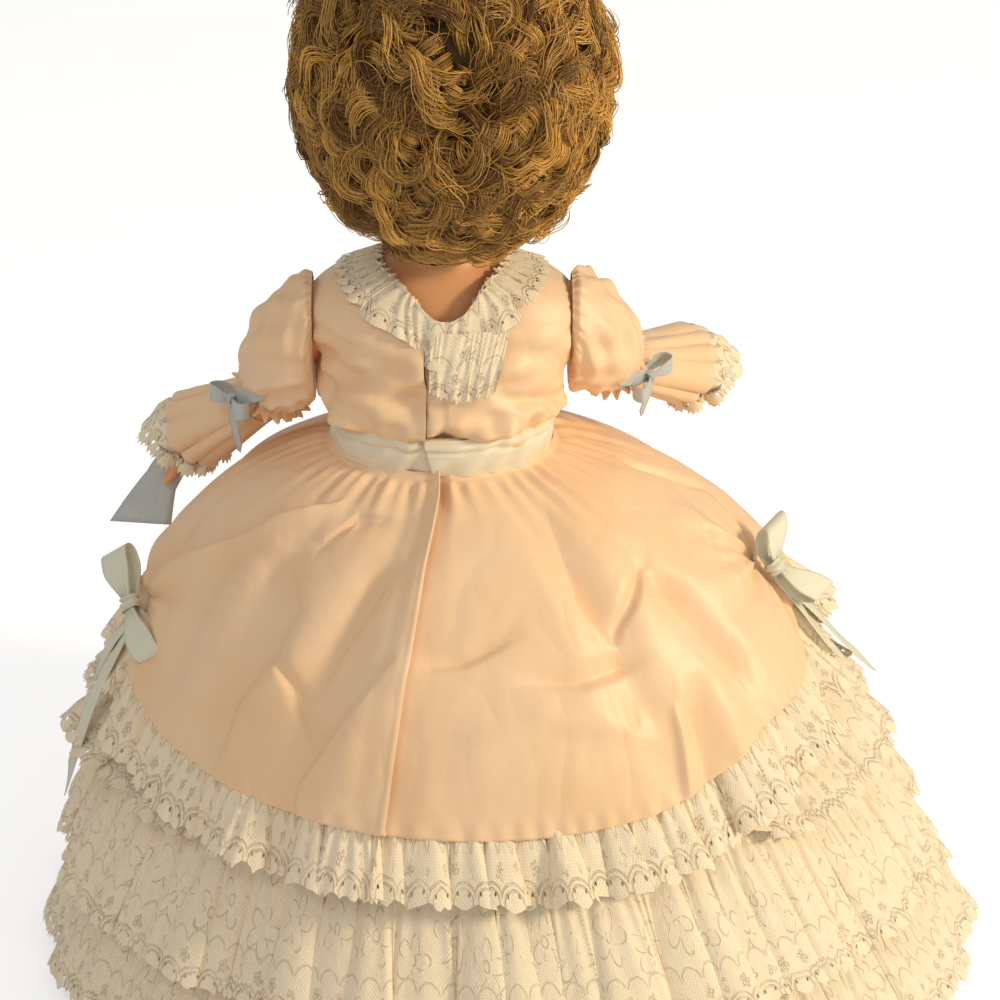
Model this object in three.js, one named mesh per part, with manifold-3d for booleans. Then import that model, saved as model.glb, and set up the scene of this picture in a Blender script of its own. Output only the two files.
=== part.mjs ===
// A 14 inch jointed vinyl doll in a full taffeta gown. Millimetres, +Z up.
// The doll faces -Y and its left hand is on +X. Everything is drawn about the doll's own axis, which
// stands on the floor midway between the shoes, and is moved at the end so that the origin lies on the
// floor under the middle of the whole outline.
import * as THREE from "three";
import { mergeVertices } from "three/addons/utils/BufferGeometryUtils.js";
import Module from "manifold-3d";

const wasm = await Module();
wasm.setup();

const { PI, sin, cos, abs, min, max, sqrt, exp, round } = Math;
const radians = THREE.MathUtils.degToRad;
const lerp = THREE.MathUtils.lerp;
const smooth = THREE.MathUtils.smoothstep;
const v2 = (x, y) => new THREE.Vector2(x, y);
const v3 = (x, y, z) => new THREE.Vector3(x, y, z);
const ball = (radius) => v3(radius, radius, radius);

const BODY_X = 21.4; // from the origin to the doll's own axis

// Clearances
const SEAT = 0.35; // between pieces that rest on each other
const RUNNING = 0.3; // round a flange in its socket
const CLOTH = 0.9; // thickness of a layer of cloth
const LACE = 0.8; // thickness of a layer of lace

// Heights of the body's landmarks
const ANKLE_Z = 22;
const KNEE_Z = 84;
const HIP_Z = 150;
const WAIST_Z = 187;
const SHOULDER_Z = 226;
const NECK_Z = SHOULDER_Z + 20;

// Torso
const WALL = 2.5;
const FLANGE_ROOM = 0.6; // round a flange where it has passed through its hole
const JOINT_SIDES = 18; // of the round faces that turn against each other
const HIP_R = 15;
const HIP_FACE_X = 15.8;
const SHOULDER_FACE_X = 31.5;
const SHOULDER_R = 12.4;
const WAIST_A = 27;
const WAIST_B = 20.5;
const NECK_POST_R = 8.5;
const NECK_FLANGE_R = 10.7;
const NECK_ROOT = 4; // how far the neck post reaches down into the shoulders
const NECK_BORE_TOP = 9; // how far the bore runs on above the neck's rim
const FLANGE_T = 2;
const ARM_NECK_R = 4.8;
const ARM_FLANGE_R = 7;
const LEG_NECK_R = 6;
const LEG_FLANGE_R = 8.5;

// Head: its features are placed from its middle, and its middle from the neck
const SKULL = v3(36, 38, 42);
const NECK_LENGTH = 12;
const HEAD_Z = NECK_Z + NECK_LENGTH + SKULL.z;
const SKULL_WALL = 3;
const NECK_R = 12.5;
const NECK_RIM = 3;
const NECK_TAPER = 3; // how much wider the neck is where it meets the skull
const NECK_TOP_Z = HEAD_Z - 0.62 * SKULL.z;
const EAR = v3(SKULL.x - 0.6, 3, HEAD_Z - 8);
const EAR_SIZE = v3(3, 5.4, 8);
const EYE = v3(0.39 * SKULL.x, -0.62 * SKULL.y, HEAD_Z - 3);
const EYE_R = 10;
const EYE_GAP = 0.7;
const LID_A = 7.4;
const LID_B = 5.4;
const LASH_ANGLE = 21;
const LASH_LENGTH = 1.8;
const LASH_SPREAD = 20; // degrees to each side of the eye's middle
const LASH_T = 0.6;
const LID_SQUARENESS = 2.6; // 2 would be an ellipse
const HAIR = SKULL.clone().add(v3(13.6, 11, 12));
const HAIR_Y = 4;
const HAIR_LEAN = 2; // the curls stand out more on the doll's right
const HAIR_BOTTOM = NECK_Z + 6;
const CURLS = 56;
const CURL = 3.6; // how far each curl swells
const CURL_SPREAD = 0.02; // square of a curl's width on a ball of radius one
const HAIR_CLEAR = 1; // between the hair and the skin it is rooted in
const FACE_OPENING = v2(29, 34);
const FACE_OPENING_Z = HEAD_Z - 12;

// Arms, as points on the centre line from the shoulder to the wrist
const ARM_PATH = [
  v3(39, 0, SHOULDER_Z),
  v3(46, -5, SHOULDER_Z - 16),
  v3(53, -13, SHOULDER_Z - 34),
  v3(68, -28, SHOULDER_Z - 49),
  v3(82, -42, SHOULDER_Z - 63),
];
const ARM_RADII = [8.8, 8.4, 7.7, 7, 5.2];
const HAND_LENGTH = 23;
const THUMB_LENGTH = 8;
const THUMB_R = 2.1;
const SHOULDER_BALL_R = 9.2;
const RIGHT_ARM_SWING = 18;

// Legs
const LEG_X = 16.5;
const THIGH_R = 13.6;
const KNEE_R = 10;
const CALF_R = 10.4;
const ANKLE_R = 6.8;
const FOOT_LENGTH = 35;
const FOOT_HALF_WIDTH = 7;
const HEEL_Y = 10;
const SOLE_T = 2.4;
const SHOE_WALL = 1.2;

// Skirts: the underskirt's outer line runs from the waist to the hem
const SKIRT_TOP_A = 35;
const SKIRT_TOP_B = 27;
const SKIRT_TOP_Z = 181;
const SHOULDER_OF_BELL = v2(80, 170);
const SIDE_OF_BELL = v2(108, 104);
const HEM_R = 148.5;
const HEM_Z = -2; // the flare lifts the edges of the layers above the floor
const UNDERSKIRT_HEM_Z = 3;
const DEPTH_RATIO = 0.78; // the skirt is this much shallower than it is wide
const LEAN = 22.5; // the hem's centre lies this far towards -X
const UNDERSKIRT_STEPS = 36;
const PETTICOAT_HEM_Z = 7;
const PETTICOAT_STEPS = 24;
const PETTICOAT_GAP = 1.5;
const FLOUNCE_FLARE = 3.3; // how far a tier's edge stands out under the one above
const FLOUNCE_FOLD = 3.4;
const FLOUNCE_STEPS = 72;
const FLOUNCE_GATHERS = 24;
const TIERS = [
  { name: "flounce_top", top: 126, bottom: 100, from: 150, to: 390, spring: 6 },
  { name: "flounce_upper", top: 106, bottom: 75, from: 150, to: 390, spring: 8 },
  { name: "flounce_middle", top: 82, bottom: 34, from: 0, to: 360, spring: 2 },
  { name: "flounce_lower", top: 39, bottom: -0.8, from: 0, to: 360, spring: 0 },
];
const OVERSKIRT_STEPS = 72;
const OVERSKIRT_ROWS = 5;
const OVERSKIRT_TOP_GAP = 0.5;
const OVERSKIRT_LIFT = 10;
const OVERSKIRT_FOLD = 3.2;
const TRIM_WIDTH = 0.075; // of the run from waist to hem
const TRIM_FOLD = 2;
const TRIM_GATHERS = 20;

// The overskirt is caught up at the side bows and hangs in a festoon at the back and one at the front
const LEFT_BOW = { angle: 6, z: 122 };
const RIGHT_BOW = { angle: 174, z: 136 };
const FESTOONS = [
  { from: LEFT_BOW.angle, to: RIGHT_BOW.angle, high: [LEFT_BOW.z, RIGHT_BOW.z], low: 91, power: 0.45 },
  { from: RIGHT_BOW.angle, to: 360 + LEFT_BOW.angle, high: [RIGHT_BOW.z, LEFT_BOW.z], low: 110, power: 0.6 },
];
const BOW_CALM = 0.24; // the cloth lies flat within this angle of a bow, in radians

// Waist
const WAISTBAND_Z = [177.6, 184];
const SASH_WIDTH = 10;
const SASH_T = 0.8;
const SASH_LAP = 18; // degrees by which the sash's ends overlap at the back

// Sleeves and bows
const ARMHOLE_X = 38.6;
const ARMHOLE_R = 11.9;
const SLEEVE_RADII = [13.4, 16, 15.8, 12.8, 9.6];
const SLEEVE_STATIONS = [0, 0.27, 0.56, 0.83, 0.93];
const SLEEVE_FOLDS = 8;
const RIBBON_T = 0.8;
const RIBBON_WIDTH = 9;
const LOOP_LENGTH = 19;
const LOOP_DEPTH = 7;
const TAIL_LIFT = 9; // how far a tail's end stands out over the lace
const KNOT_BACK = 2; // how far the knot reaches behind the loops
const SLEEVE_BOW_SCALE = 0.62;
const SLEEVE_BOW_REACH = 12.05; // from the elbow, so that the knot rests on the sleeve

// Shaping helpers

// The geometry with its faces turned out.
function facingOut(positions, index) {
  let volume = 0;
  const p = (i) => v3(positions[3 * i], positions[3 * i + 1], positions[3 * i + 2]);
  for (let i = 0; i < index.length; i += 3)
    volume += p(index[i]).dot(p(index[i + 1]).cross(p(index[i + 2])));
  const faces = volume < 0 ? index.slice().reverse() : index;
  const geometry = new THREE.BufferGeometry();
  geometry.setAttribute("position", new THREE.Float32BufferAttribute(positions, 3));
  geometry.setIndex(faces);
  return geometry;
}

// A closed body whose skin runs through rings of points, with a cap on each end.
function skin(rings) {
  const sides = rings[0].length;
  const middle = (ring) => ring.reduce((sum, p) => sum.add(p), v3(0, 0, 0)).divideScalar(sides);
  const points = [...rings.flat(), middle(rings[0]), middle(rings.at(-1))];
  const first = rings.length * sides;
  const index = [];
  for (let k = 0; k < sides; k++) {
    const next = (k + 1) % sides;
    for (let i = 0; i < rings.length - 1; i++) {
      const [a, b, c, d] = [i * sides + k, i * sides + next, (i + 1) * sides + next, (i + 1) * sides + k];
      index.push(a, b, c, a, c, d);
    }
    const last = (rings.length - 1) * sides;
    index.push(first, next, k, first + 1, last + k, last + next);
  }
  return facingOut(points.flatMap((p) => p.toArray()), index);
}

// A layer of cloth between an outer and an inner grid, grid[column][row]. It closes on itself or has
// two ends.
function cloth(outer, inner, closed) {
  const rows = outer[0].length;
  const around = 2 * rows;
  const points = outer.flatMap((column, i) => [...column, ...inner[i].slice().reverse()]);
  const index = [];
  const spans = closed ? outer.length : outer.length - 1;
  for (let i = 0; i < spans; i++) {
    const a = i * around;
    const b = ((i + 1) % outer.length) * around;
    for (let k = 0; k < around; k++) {
      const next = (k + 1) % around;
      index.push(a + k, b + k, b + next, a + k, b + next, a + next);
    }
  }
  if (!closed)
    for (let j = 0; j < rows - 1; j++) {
      const [p, q, r, s] = [j, j + 1, around - 2 - j, around - 1 - j];
      const end = (outer.length - 1) * around;
      index.push(p, q, r, p, r, s, end + p, end + r, end + q, end + p, end + s, end + r);
    }
  return facingOut(points.flatMap((p) => p.toArray()), index);
}

// Columns and rows of points, from a function of the column and row shares.
const grid = (columns, rows, closed, at) =>
  Array.from({ length: columns + (closed ? 0 : 1) }, (_, i) =>
    Array.from({ length: rows + 1 }, (_, j) => at(i / columns, j / rows)),
  );

// Closed geometry as a solid for cutting and joining.
function solid(geometry) {
  const bare = geometry.index ? geometry.toNonIndexed() : geometry.clone();
  for (const name of Object.keys(bare.attributes)) if (name !== "position") bare.deleteAttribute(name);
  const merged = mergeVertices(bare, 1e-3);
  return new wasm.Manifold(
    new wasm.Mesh({
      numProp: 3,
      vertProperties: merged.attributes.position.array,
      triVerts: new Uint32Array(merged.index.array),
    }),
  );
}

// A cut or joined solid as geometry again.
function shape(body) {
  const mesh = body.getMesh();
  const positions = [];
  for (let i = 0; i < mesh.numVert; i++)
    positions.push(...mesh.vertProperties.slice(i * mesh.numProp, i * mesh.numProp + 3));
  const geometry = new THREE.BufferGeometry();
  geometry.setAttribute("position", new THREE.Float32BufferAttribute(positions, 3));
  geometry.setIndex([...mesh.triVerts]);
  return geometry;
}

const joined = (...bodies) => bodies.reduce((all, one) => all.add(one));

// A round bar between two points.
function bar(radius, from, to, sides = 14, endRadius = radius) {
  const along = to.clone().sub(from);
  const geometry = new THREE.CylinderGeometry(endRadius, radius, along.length(), sides);
  geometry.applyQuaternion(new THREE.Quaternion().setFromUnitVectors(v3(0, 1, 0), along.clone().normalize()));
  geometry.translate(...from.clone().add(to).multiplyScalar(0.5).toArray());
  return solid(geometry);
}

function ellipsoid(centre, radii, across = 16, down = 10) {
  const geometry = new THREE.SphereGeometry(1, across, down);
  geometry.rotateX(PI / 2);
  geometry.scale(radii.x, radii.y, radii.z);
  geometry.translate(centre.x, centre.y, centre.z);
  return solid(geometry);
}

// A bar from side to side through the doll.
const crossBar = (radius, reach, z, sides = 14) => bar(radius, v3(-reach, 0, z), v3(reach, 0, z), sides);

function block(low, high) {
  const size = high.clone().sub(low);
  const geometry = new THREE.BoxGeometry(size.x, size.y, size.z);
  geometry.translate(...low.clone().add(high).multiplyScalar(0.5).toArray());
  return solid(geometry);
}

// A body of oval rings through rows of half width, half depth and height.
function lofted(rows, grow, rings, sides) {
  const line = new THREE.CatmullRomCurve3(rows.map(([z, a, b]) => v3(a, b, z)));
  return skin(
    line.getPoints(rings).map(({ x: a, y: b, z }) =>
      Array.from({ length: sides }, (_, k) => {
        const turn = (2 * PI * k) / sides;
        return v3((a + grow) * cos(turn), (b + grow) * sin(turn), z);
      }),
    ),
  );
}

// Rings of a tube along a curve, with a radius for each share of the way.
function tubeRings(curve, stations, radiusAt, sides, normalAt) {
  return stations.map((share, i) => {
    const centre = curve.getPoint(share);
    const along = (normalAt ? normalAt(share) : curve.getTangent(share)).normalize();
    const side = v3(0, 1, 0).addScaledVector(along, -along.y).normalize();
    const up = along.clone().cross(side);
    const radius = radiusAt(share, i);
    return Array.from({ length: sides }, (_, k) => {
      const turn = (2 * PI * k) / sides;
      const r = typeof radius === "function" ? radius(turn) : radius;
      return centre.clone().addScaledVector(side, r * cos(turn)).addScaledVector(up, r * sin(turn));
    });
  });
}

// Materials

function finish(color, roughness, metalness = 0) {
  return new THREE.MeshStandardMaterial({ color, roughness, metalness });
}
const VINYL = finish(0xe9a878, 0.5);
const HAIR_FIBRE = finish(0x8a5f2c, 0.6);
const EYE_GLOSS = finish(0x6d8fae, 0.15);
const LASH = finish(0x3a2415, 0.7);
const STEEL = finish(0x9a9a9c, 0.35, 1);
const TAFFETA = finish(0xf0c9a4, 0.42);
const LACE_NET = finish(0xe8d6b4, 0.85);
const NET = finish(0xf1ead9, 0.9);
const COTTON = finish(0xf3efe6, 0.9);
const SASH_SATIN = finish(0xe6dccb, 0.3);
const BOW_SATIN = finish(0xdfe0cf, 0.35);
const BLUE_SATIN = finish(0xc3c9cc, 0.35);
const SHOE_VINYL = finish(0xf2eee6, 0.35);
const SNAP_METAL = finish(0xc9c4ba, 0.3, 1);

function piece(name, geometry, material) {
  const mesh = new THREE.Mesh(geometry, material);
  mesh.name = name;
  return mesh;
}

// A group that turns about a pivot, holding pieces made in the doll's own frame.
function hinged(pivot, pieces) {
  const group = new THREE.Group();
  group.position.copy(pivot);
  for (const mesh of pieces) {
    mesh.position.copy(pivot).negate();
    group.add(mesh);
  }
  return group;
}

// The same limb on the doll's right.
function mirrored(group) {
  const other = group.clone();
  other.position.x *= -1;
  other.scale.x = -1;
  other.traverse((mesh) => {
    mesh.name = mesh.name.replace("_left", "_right");
  });
  return other;
}

// Torso

const TORSO_ROWS = [
  [146, 24, 13],
  [152, 28.5, 16.5],
  [165, 31, 22],
  [178, 29.5, 21.5],
  [WAIST_Z, WAIST_A, WAIST_B],
  [SHOULDER_Z - 22, 28, 20.5],
  [SHOULDER_Z - 8, 31, 21],
  [SHOULDER_Z + 2, 32.8, 19.5],
  [NECK_Z - 8, 28, 16],
  [NECK_Z - 2, 15, 13.4],
  [NECK_Z, NECK_R, NECK_R],
];
const NECK_RIM_TOP = NECK_Z + SEAT + NECK_RIM;

function torso() {
  const outer = joined(
    solid(lofted(TORSO_ROWS, 0, 9, 16)),
    crossBar(HIP_R, HIP_FACE_X, HIP_Z, JOINT_SIDES),
    bar(NECK_POST_R, v3(0, 0, NECK_Z - NECK_ROOT), v3(0, 0, NECK_RIM_TOP + RUNNING + FLANGE_T)),
    bar(NECK_FLANGE_R, v3(0, 0, NECK_RIM_TOP + RUNNING), v3(0, 0, NECK_RIM_TOP + RUNNING + FLANGE_T)),
  );
  const hollow = joined(
    solid(lofted(TORSO_ROWS, -WALL, 5, 12)).intersect(
      block(
        v3(WALL - SHOULDER_FACE_X, -40, HIP_Z),
        v3(SHOULDER_FACE_X - WALL, 40, NECK_Z - NECK_ROOT),
      ),
    ),
    crossBar(HIP_R - WALL, HIP_FACE_X - WALL, HIP_Z),
    crossBar(ARM_FLANGE_R + FLANGE_ROOM, SHOULDER_FACE_X - WALL, SHOULDER_Z),
    bar(NECK_POST_R - WALL, v3(0, 0, NECK_Z - 10), v3(0, 0, NECK_RIM_TOP + NECK_BORE_TOP)),
  );
  const sockets = [-1, 1].flatMap((side) => [
    bar(HIP_R + 1.4, v3(side * HIP_FACE_X, 0, HIP_Z), v3(side * 40, 0, HIP_Z), JOINT_SIDES),
    bar(SHOULDER_R, v3(side * SHOULDER_FACE_X, 0, SHOULDER_Z), v3(side * 40, 0, SHOULDER_Z)),
    bar(LEG_NECK_R + RUNNING, v3(side * 8, 0, HIP_Z), v3(side * 40, 0, HIP_Z)),
    bar(ARM_NECK_R + RUNNING, v3(side * 24, 0, SHOULDER_Z), v3(side * 40, 0, SHOULDER_Z)),
  ]);
  return outer.subtract(joined(hollow, ...sockets));
}

// The plug of a limb on the doll's left, whose flange sits inside the torso's wall.
const plug = (faceX, z, neckR, flangeR) =>
  joined(
    bar(neckR, v3(faceX - WALL - 1, 0, z), v3(faceX + 2, 0, z)),
    bar(flangeR, v3(faceX - WALL - RUNNING - FLANGE_T, 0, z), v3(faceX - WALL - RUNNING, 0, z)),
  );

// Head and eyes

const both = (make) => joined(make(-1), make(1));

// Soft forms of the face, from the middle of the head: each pushes the front out by its height.
const FACE_FORMS = [
  { x: 0, z: -36, wide: 9, tall: 8, height: 8 }, // chin
  { x: 0, z: -23, wide: 11, tall: 8, height: 3.4 }, // mouth
  { x: -19, z: -20, wide: 10, tall: 10, height: 3 }, // cheeks
  { x: 19, z: -20, wide: 10, tall: 10, height: 3 },
  { x: 0, z: -8, wide: 5, tall: 9, height: 1.6 }, // bridge of the nose
  { x: -EYE.x, z: -3, wide: 9, tall: 7, height: -1.2 }, // eye hollows
  { x: EYE.x, z: -3, wide: 9, tall: 7, height: -1.2 },
];
const NOSE = { out: 0.6, z: -12.6, size: v3(3.1, 4, 3.2) };
const UPPER_LIP = { x: 2.1, in: 1.4, z: -21.6, size: v3(3, 2.6, 1.3) };
const LOWER_LIP = { in: 2, z: -23.8, size: v3(3.6, 2.8, 1.4) };
function faceForm(x, z) {
  const push = (f) => f.height * exp(-(((x - f.x) / f.wide) ** 2) - ((z - f.z) / f.tall) ** 2);
  return FACE_FORMS.reduce((sum, form) => sum + push(form), 0);
}

function head() {
  const skull = new THREE.SphereGeometry(1, 20, 15);
  skull.rotateX(PI / 2);
  const at = skull.attributes.position;
  for (let i = 0; i < at.count; i++) {
    const p = v3(at.getX(i), at.getY(i), at.getZ(i)).multiply(SKULL);
    const front = smooth(-p.y / SKULL.y, 0.1, 0.6);
    const nape = 1 - 0.12 * smooth(p.y / SKULL.y, 0, 0.3) * smooth(-p.z / SKULL.z, 0.3, 1);
    at.setXYZ(i, p.x * nape, p.y * nape - front * faceForm(p.x, p.z), p.z + HEAD_Z);
  }
  const nose = ellipsoid(v3(0, -SKULL.y - NOSE.out, HEAD_Z + NOSE.z), NOSE.size, 8, 5);
  const upperLip = (s) =>
    ellipsoid(v3(s * UPPER_LIP.x, UPPER_LIP.in - SKULL.y, HEAD_Z + UPPER_LIP.z), UPPER_LIP.size, 6, 4);
  const lips = joined(
    both(upperLip),
    ellipsoid(v3(0, LOWER_LIP.in - SKULL.y, HEAD_Z + LOWER_LIP.z), LOWER_LIP.size, 6, 4),
  );
  const ears = both((s) => ellipsoid(v3(s * EAR.x, EAR.y, EAR.z), EAR_SIZE, 7, 5));
  const neck = bar(NECK_R, v3(0, 0, NECK_Z + SEAT), v3(0, 0, NECK_TOP_Z), 16, NECK_R + NECK_TAPER);
  const outside = joined(solid(skull), nose, lips, ears, neck);
  const inside = joined(
    ellipsoid(v3(0, 0, HEAD_Z), SKULL.clone().subScalar(SKULL_WALL), 12, 7),
    bar(NECK_FLANGE_R + FLANGE_ROOM, v3(0, 0, NECK_RIM_TOP), v3(0, 0, NECK_TOP_Z + 6)),
    bar(NECK_POST_R + RUNNING, v3(0, 0, NECK_Z - 2), v3(0, 0, NECK_RIM_TOP + 7)),
    both((s) => ellipsoid(v3(s * EYE.x, EYE.y, EYE.z), ball(EYE_R + EYE_GAP), 12, 8)),
    both((s) => lidOpening(s * EYE.x)),
  );
  return outside.subtract(inside);
}

// The almond opening in front of an eye.
function lidOpening(x) {
  const sides = 12;
  const outline = new THREE.Shape(
    Array.from({ length: sides }, (_, k) => {
      const turn = (2 * PI * k) / sides;
      const square = (value) => Math.sign(value) * abs(value) ** (2 / LID_SQUARENESS);
      return v2(LID_A * square(cos(turn)), LID_B * square(sin(turn)));
    }),
  );
  const cut = new THREE.ExtrudeGeometry(outline, { depth: 20, bevelEnabled: false });
  cut.rotateX(PI / 2);
  cut.translate(x, EYE.y - 2, EYE.z);
  return solid(cut);
}

const eyeball = () => shape(ellipsoid(EYE, ball(EYE_R), 12, 8));

// A fringe of lashes that stands on the lid line of the eyeball.
function eyelash() {
  const lift = radians(LASH_ANGLE);
  const spread = radians(LASH_SPREAD);
  const layer = (drop) =>
    grid(4, 1, false, (u, v) => {
      const turn = lerp(-spread, spread, u);
      const reach = EYE_R + RUNNING + LASH_LENGTH * v;
      const tilt = lift - drop / EYE_R;
      return v3(
        EYE.x + reach * cos(tilt) * sin(turn),
        EYE.y - reach * cos(tilt) * cos(turn),
        EYE.z + reach * sin(tilt),
      );
    });
  return cloth(layer(0), layer(LASH_T), false);
}

// The wire that ties the two eyes together, with the arm that carries the weight.
const WEIGHT_AT = v3(0, EYE.y + 9, EYE.z - 15);
const WEIGHT_R = 4;
const WEIGHT_HALF_LENGTH = 5;
const ROCKER_R = 1.3;
const ROCKER_ARM_R = 0.9;
function eyeRocker() {
  const inner = EYE.x - EYE_R - SEAT;
  const end = WEIGHT_AT.clone().add(v3(0, -WEIGHT_R - SEAT, 0));
  const elbow = v3(0, end.y - 2 * ROCKER_ARM_R, end.z);
  return joined(
    bar(ROCKER_R, v3(-inner, EYE.y, EYE.z), v3(inner, EYE.y, EYE.z), 8),
    bar(ROCKER_ARM_R, v3(0, EYE.y, EYE.z), v3(0, elbow.y + 0.3, elbow.z), 8),
    bar(ROCKER_ARM_R, elbow, end, 8),
  );
}
function eyeWeight() {
  const end = v3(WEIGHT_HALF_LENGTH, 0, 0);
  return bar(WEIGHT_R, WEIGHT_AT.clone().sub(end), WEIGHT_AT.clone().add(end), 12);
}

// Short curly hair: an oval mass whose curls swell from points spread by the golden angle.
function hair() {
  const curls = Array.from({ length: CURLS }, (_, i) => {
    const z = 1 - (2 * (i + 0.5)) / CURLS;
    const turn = i * PI * (3 - sqrt(5));
    return v3(sqrt(1 - z * z) * cos(turn), sqrt(1 - z * z) * sin(turn), z);
  });
  const mass = new THREE.SphereGeometry(1, 24, 14);
  mass.rotateX(PI / 2);
  const at = mass.attributes.position;
  for (let i = 0; i < at.count; i++) {
    const p = v3(at.getX(i), at.getY(i), at.getZ(i)).normalize();
    const swell = max(...curls.map((c) => exp(-p.distanceToSquared(c) / CURL_SPREAD)));
    const q = p.clone().multiply(HAIR).multiplyScalar(1 + (CURL * (swell - 0.8)) / HAIR.x);
    at.setXYZ(i, q.x - HAIR_LEAN, q.y + HAIR_Y, q.z + HEAD_Z + HAIR_CLEAR);
  }
  const faceSide = bar(1, v3(0, -90, 0), v3(0, -15, 0))
    .scale([FACE_OPENING.x, 1, FACE_OPENING.y])
    .translate([0, 0, FACE_OPENING_Z]);
  const headRoom = ellipsoid(v3(0, 0, HEAD_Z), SKULL.clone().addScalar(HAIR_CLEAR + 0.8), 14, 9);
  const earRoom = both((s) =>
    ellipsoid(v3(s * EAR.x, EAR.y, EAR.z), EAR_SIZE.clone().addScalar(HAIR_CLEAR), 7, 5),
  );
  const neckClear = NECK_R + HAIR_CLEAR + 0.5;
  const neckRoom = bar(neckClear, v3(0, 0, NECK_Z - 6), v3(0, 0, NECK_TOP_Z), 16, neckClear + NECK_TAPER);
  const floor = block(v3(-80, -80, 200), v3(80, 80, HAIR_BOTTOM));
  return solid(mass).subtract(joined(faceSide, headRoom, earRoom, neckRoom, floor));
}

// Arms

const ARM_LINE = new THREE.CatmullRomCurve3(ARM_PATH);
const WRIST = ARM_PATH.at(-1);
const HAND_WAY = v3(0.3, -0.2, -0.93).normalize();

// The half width and half thickness of the hand, from the wrist to the fingertips.
const HAND_FORM = [
  [5, 4.8],
  [6.4, 4],
  [6.8, 3.4],
  [6, 2.7],
  [3.6, 1.8],
];

// A hand with its fingers together and the thumb apart.
function hand() {
  const across = v3(0.1, 0.95, -0.2).projectOnPlane(HAND_WAY).normalize();
  const through = across.clone().cross(HAND_WAY);
  const rings = HAND_FORM.map(([wide, thick], i) => {
    const centre = WRIST.clone().addScaledVector(HAND_WAY, (HAND_LENGTH * i) / (HAND_FORM.length - 1) - 2);
    return Array.from({ length: 8 }, (_, k) => {
      const turn = (PI * k) / 4;
      const point = centre.clone().addScaledVector(across, wide * cos(turn));
      return point.addScaledVector(through, thick * sin(turn));
    });
  });
  const root = WRIST.clone().addScaledVector(HAND_WAY, 4).addScaledVector(across, -3);
  const thumbWay = HAND_WAY.clone().addScaledVector(across, -0.7).normalize();
  const tip = root.clone().addScaledVector(thumbWay, THUMB_LENGTH);
  const thumbTip = ellipsoid(tip, ball(THUMB_R * 0.9), 6, 4);
  return joined(solid(skin(rings)), bar(THUMB_R, root, tip, 6, THUMB_R * 0.85), thumbTip);
}

function arm() {
  const stations = Array.from({ length: 9 }, (_, i) => i / 8);
  const radiusAt = (share) => {
    const place = share * (ARM_RADII.length - 1);
    const i = min(ARM_RADII.length - 2, Math.floor(place));
    return lerp(ARM_RADII[i], ARM_RADII[i + 1], place - i);
  };
  const limb = solid(skin(tubeRings(ARM_LINE, stations, radiusAt, 12)));
  const shoulder = ellipsoid(ARM_PATH[0], ball(SHOULDER_BALL_R), 12, 7);
  const armhole = bar(ARMHOLE_R - 1, v3(SHOULDER_FACE_X + SEAT, 0, SHOULDER_Z), v3(50, 0, SHOULDER_Z));
  const outside = joined(armhole, block(v3(ARMHOLE_X + 4, -90, 60), v3(160, 90, 300)));
  return joined(
    joined(limb, shoulder).intersect(outside),
    hand(),
    plug(SHOULDER_FACE_X, SHOULDER_Z, ARM_NECK_R, ARM_FLANGE_R),
  );
}

// Legs and shoes

const LEG_FACE_X = HIP_FACE_X + SEAT;
const LEG_ROWS = [
  [HIP_Z - 8, THIGH_R + 0.2],
  [118, THIGH_R - 0.8],
  [KNEE_Z, KNEE_R],
  [60, CALF_R],
  [ANKLE_Z + 12, ANKLE_R + 0.8],
  [ANKLE_Z - 8, ANKLE_R],
];
const LEG_LINE = new THREE.CatmullRomCurve3(LEG_ROWS.map(([z, r]) => v3(r, 0, z)));
const legRadiusAt = (z) => {
  let best = LEG_LINE.getPoint(0);
  for (const p of LEG_LINE.getPoints(60)) if (abs(p.z - z) < abs(best.z - z)) best = p;
  return best.x;
};
const legCentreX = (z) => LEG_X - 1.4 * (1 - z / HIP_Z);
const legRing = (z, sides) =>
  Array.from({ length: sides }, (_, k) => {
    const turn = (2 * PI * k) / sides;
    const r = legRadiusAt(z);
    return v3(legCentreX(z) + r * cos(turn), r * sin(turn), z);
  });

// The foot, or a shoe's outline round it, as an oval body that is flat underneath.
function footBody(grow, bottom) {
  const middle = v3(legCentreX(0), HEEL_Y - FOOT_LENGTH / 2, 0);
  const long = ellipsoid(
    v3(middle.x, middle.y, SOLE_T + SEAT + 5),
    v3(FOOT_HALF_WIDTH + grow, FOOT_LENGTH / 2 + grow, 9 + grow),
    12,
    7,
  );
  const heel = ellipsoid(v3(middle.x, 2, SOLE_T + SEAT + 8), v3(6.8 + grow, 8.2 + grow, 12 + grow), 10, 6);
  return joined(long, heel).intersect(block(v3(-20, -60, bottom), v3(60, 40, 60)));
}

function leg() {
  const rings = LEG_LINE.getPoints(7).map((p) => legRing(p.z, 12));
  const drumEnd = LEG_X + THIGH_R;
  const drum = joined(
    bar(HIP_R + 0.4, v3(LEG_FACE_X, 0, HIP_Z), v3(drumEnd - 6, 0, HIP_Z)),
    bar(HIP_R + 0.4, v3(drumEnd - 6, 0, HIP_Z), v3(drumEnd - 1, 0, HIP_Z), 14, HIP_R - 5),
  );
  const crotch = bar(HIP_R + SEAT + 0.2, v3(-20, 0, HIP_Z), v3(LEG_FACE_X, 0, HIP_Z), 18);
  return joined(
    joined(solid(skin(rings)), drum).subtract(crotch),
    footBody(0, SOLE_T + SEAT),
    plug(HIP_FACE_X, HIP_Z, LEG_NECK_R, LEG_FLANGE_R),
  );
}

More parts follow.
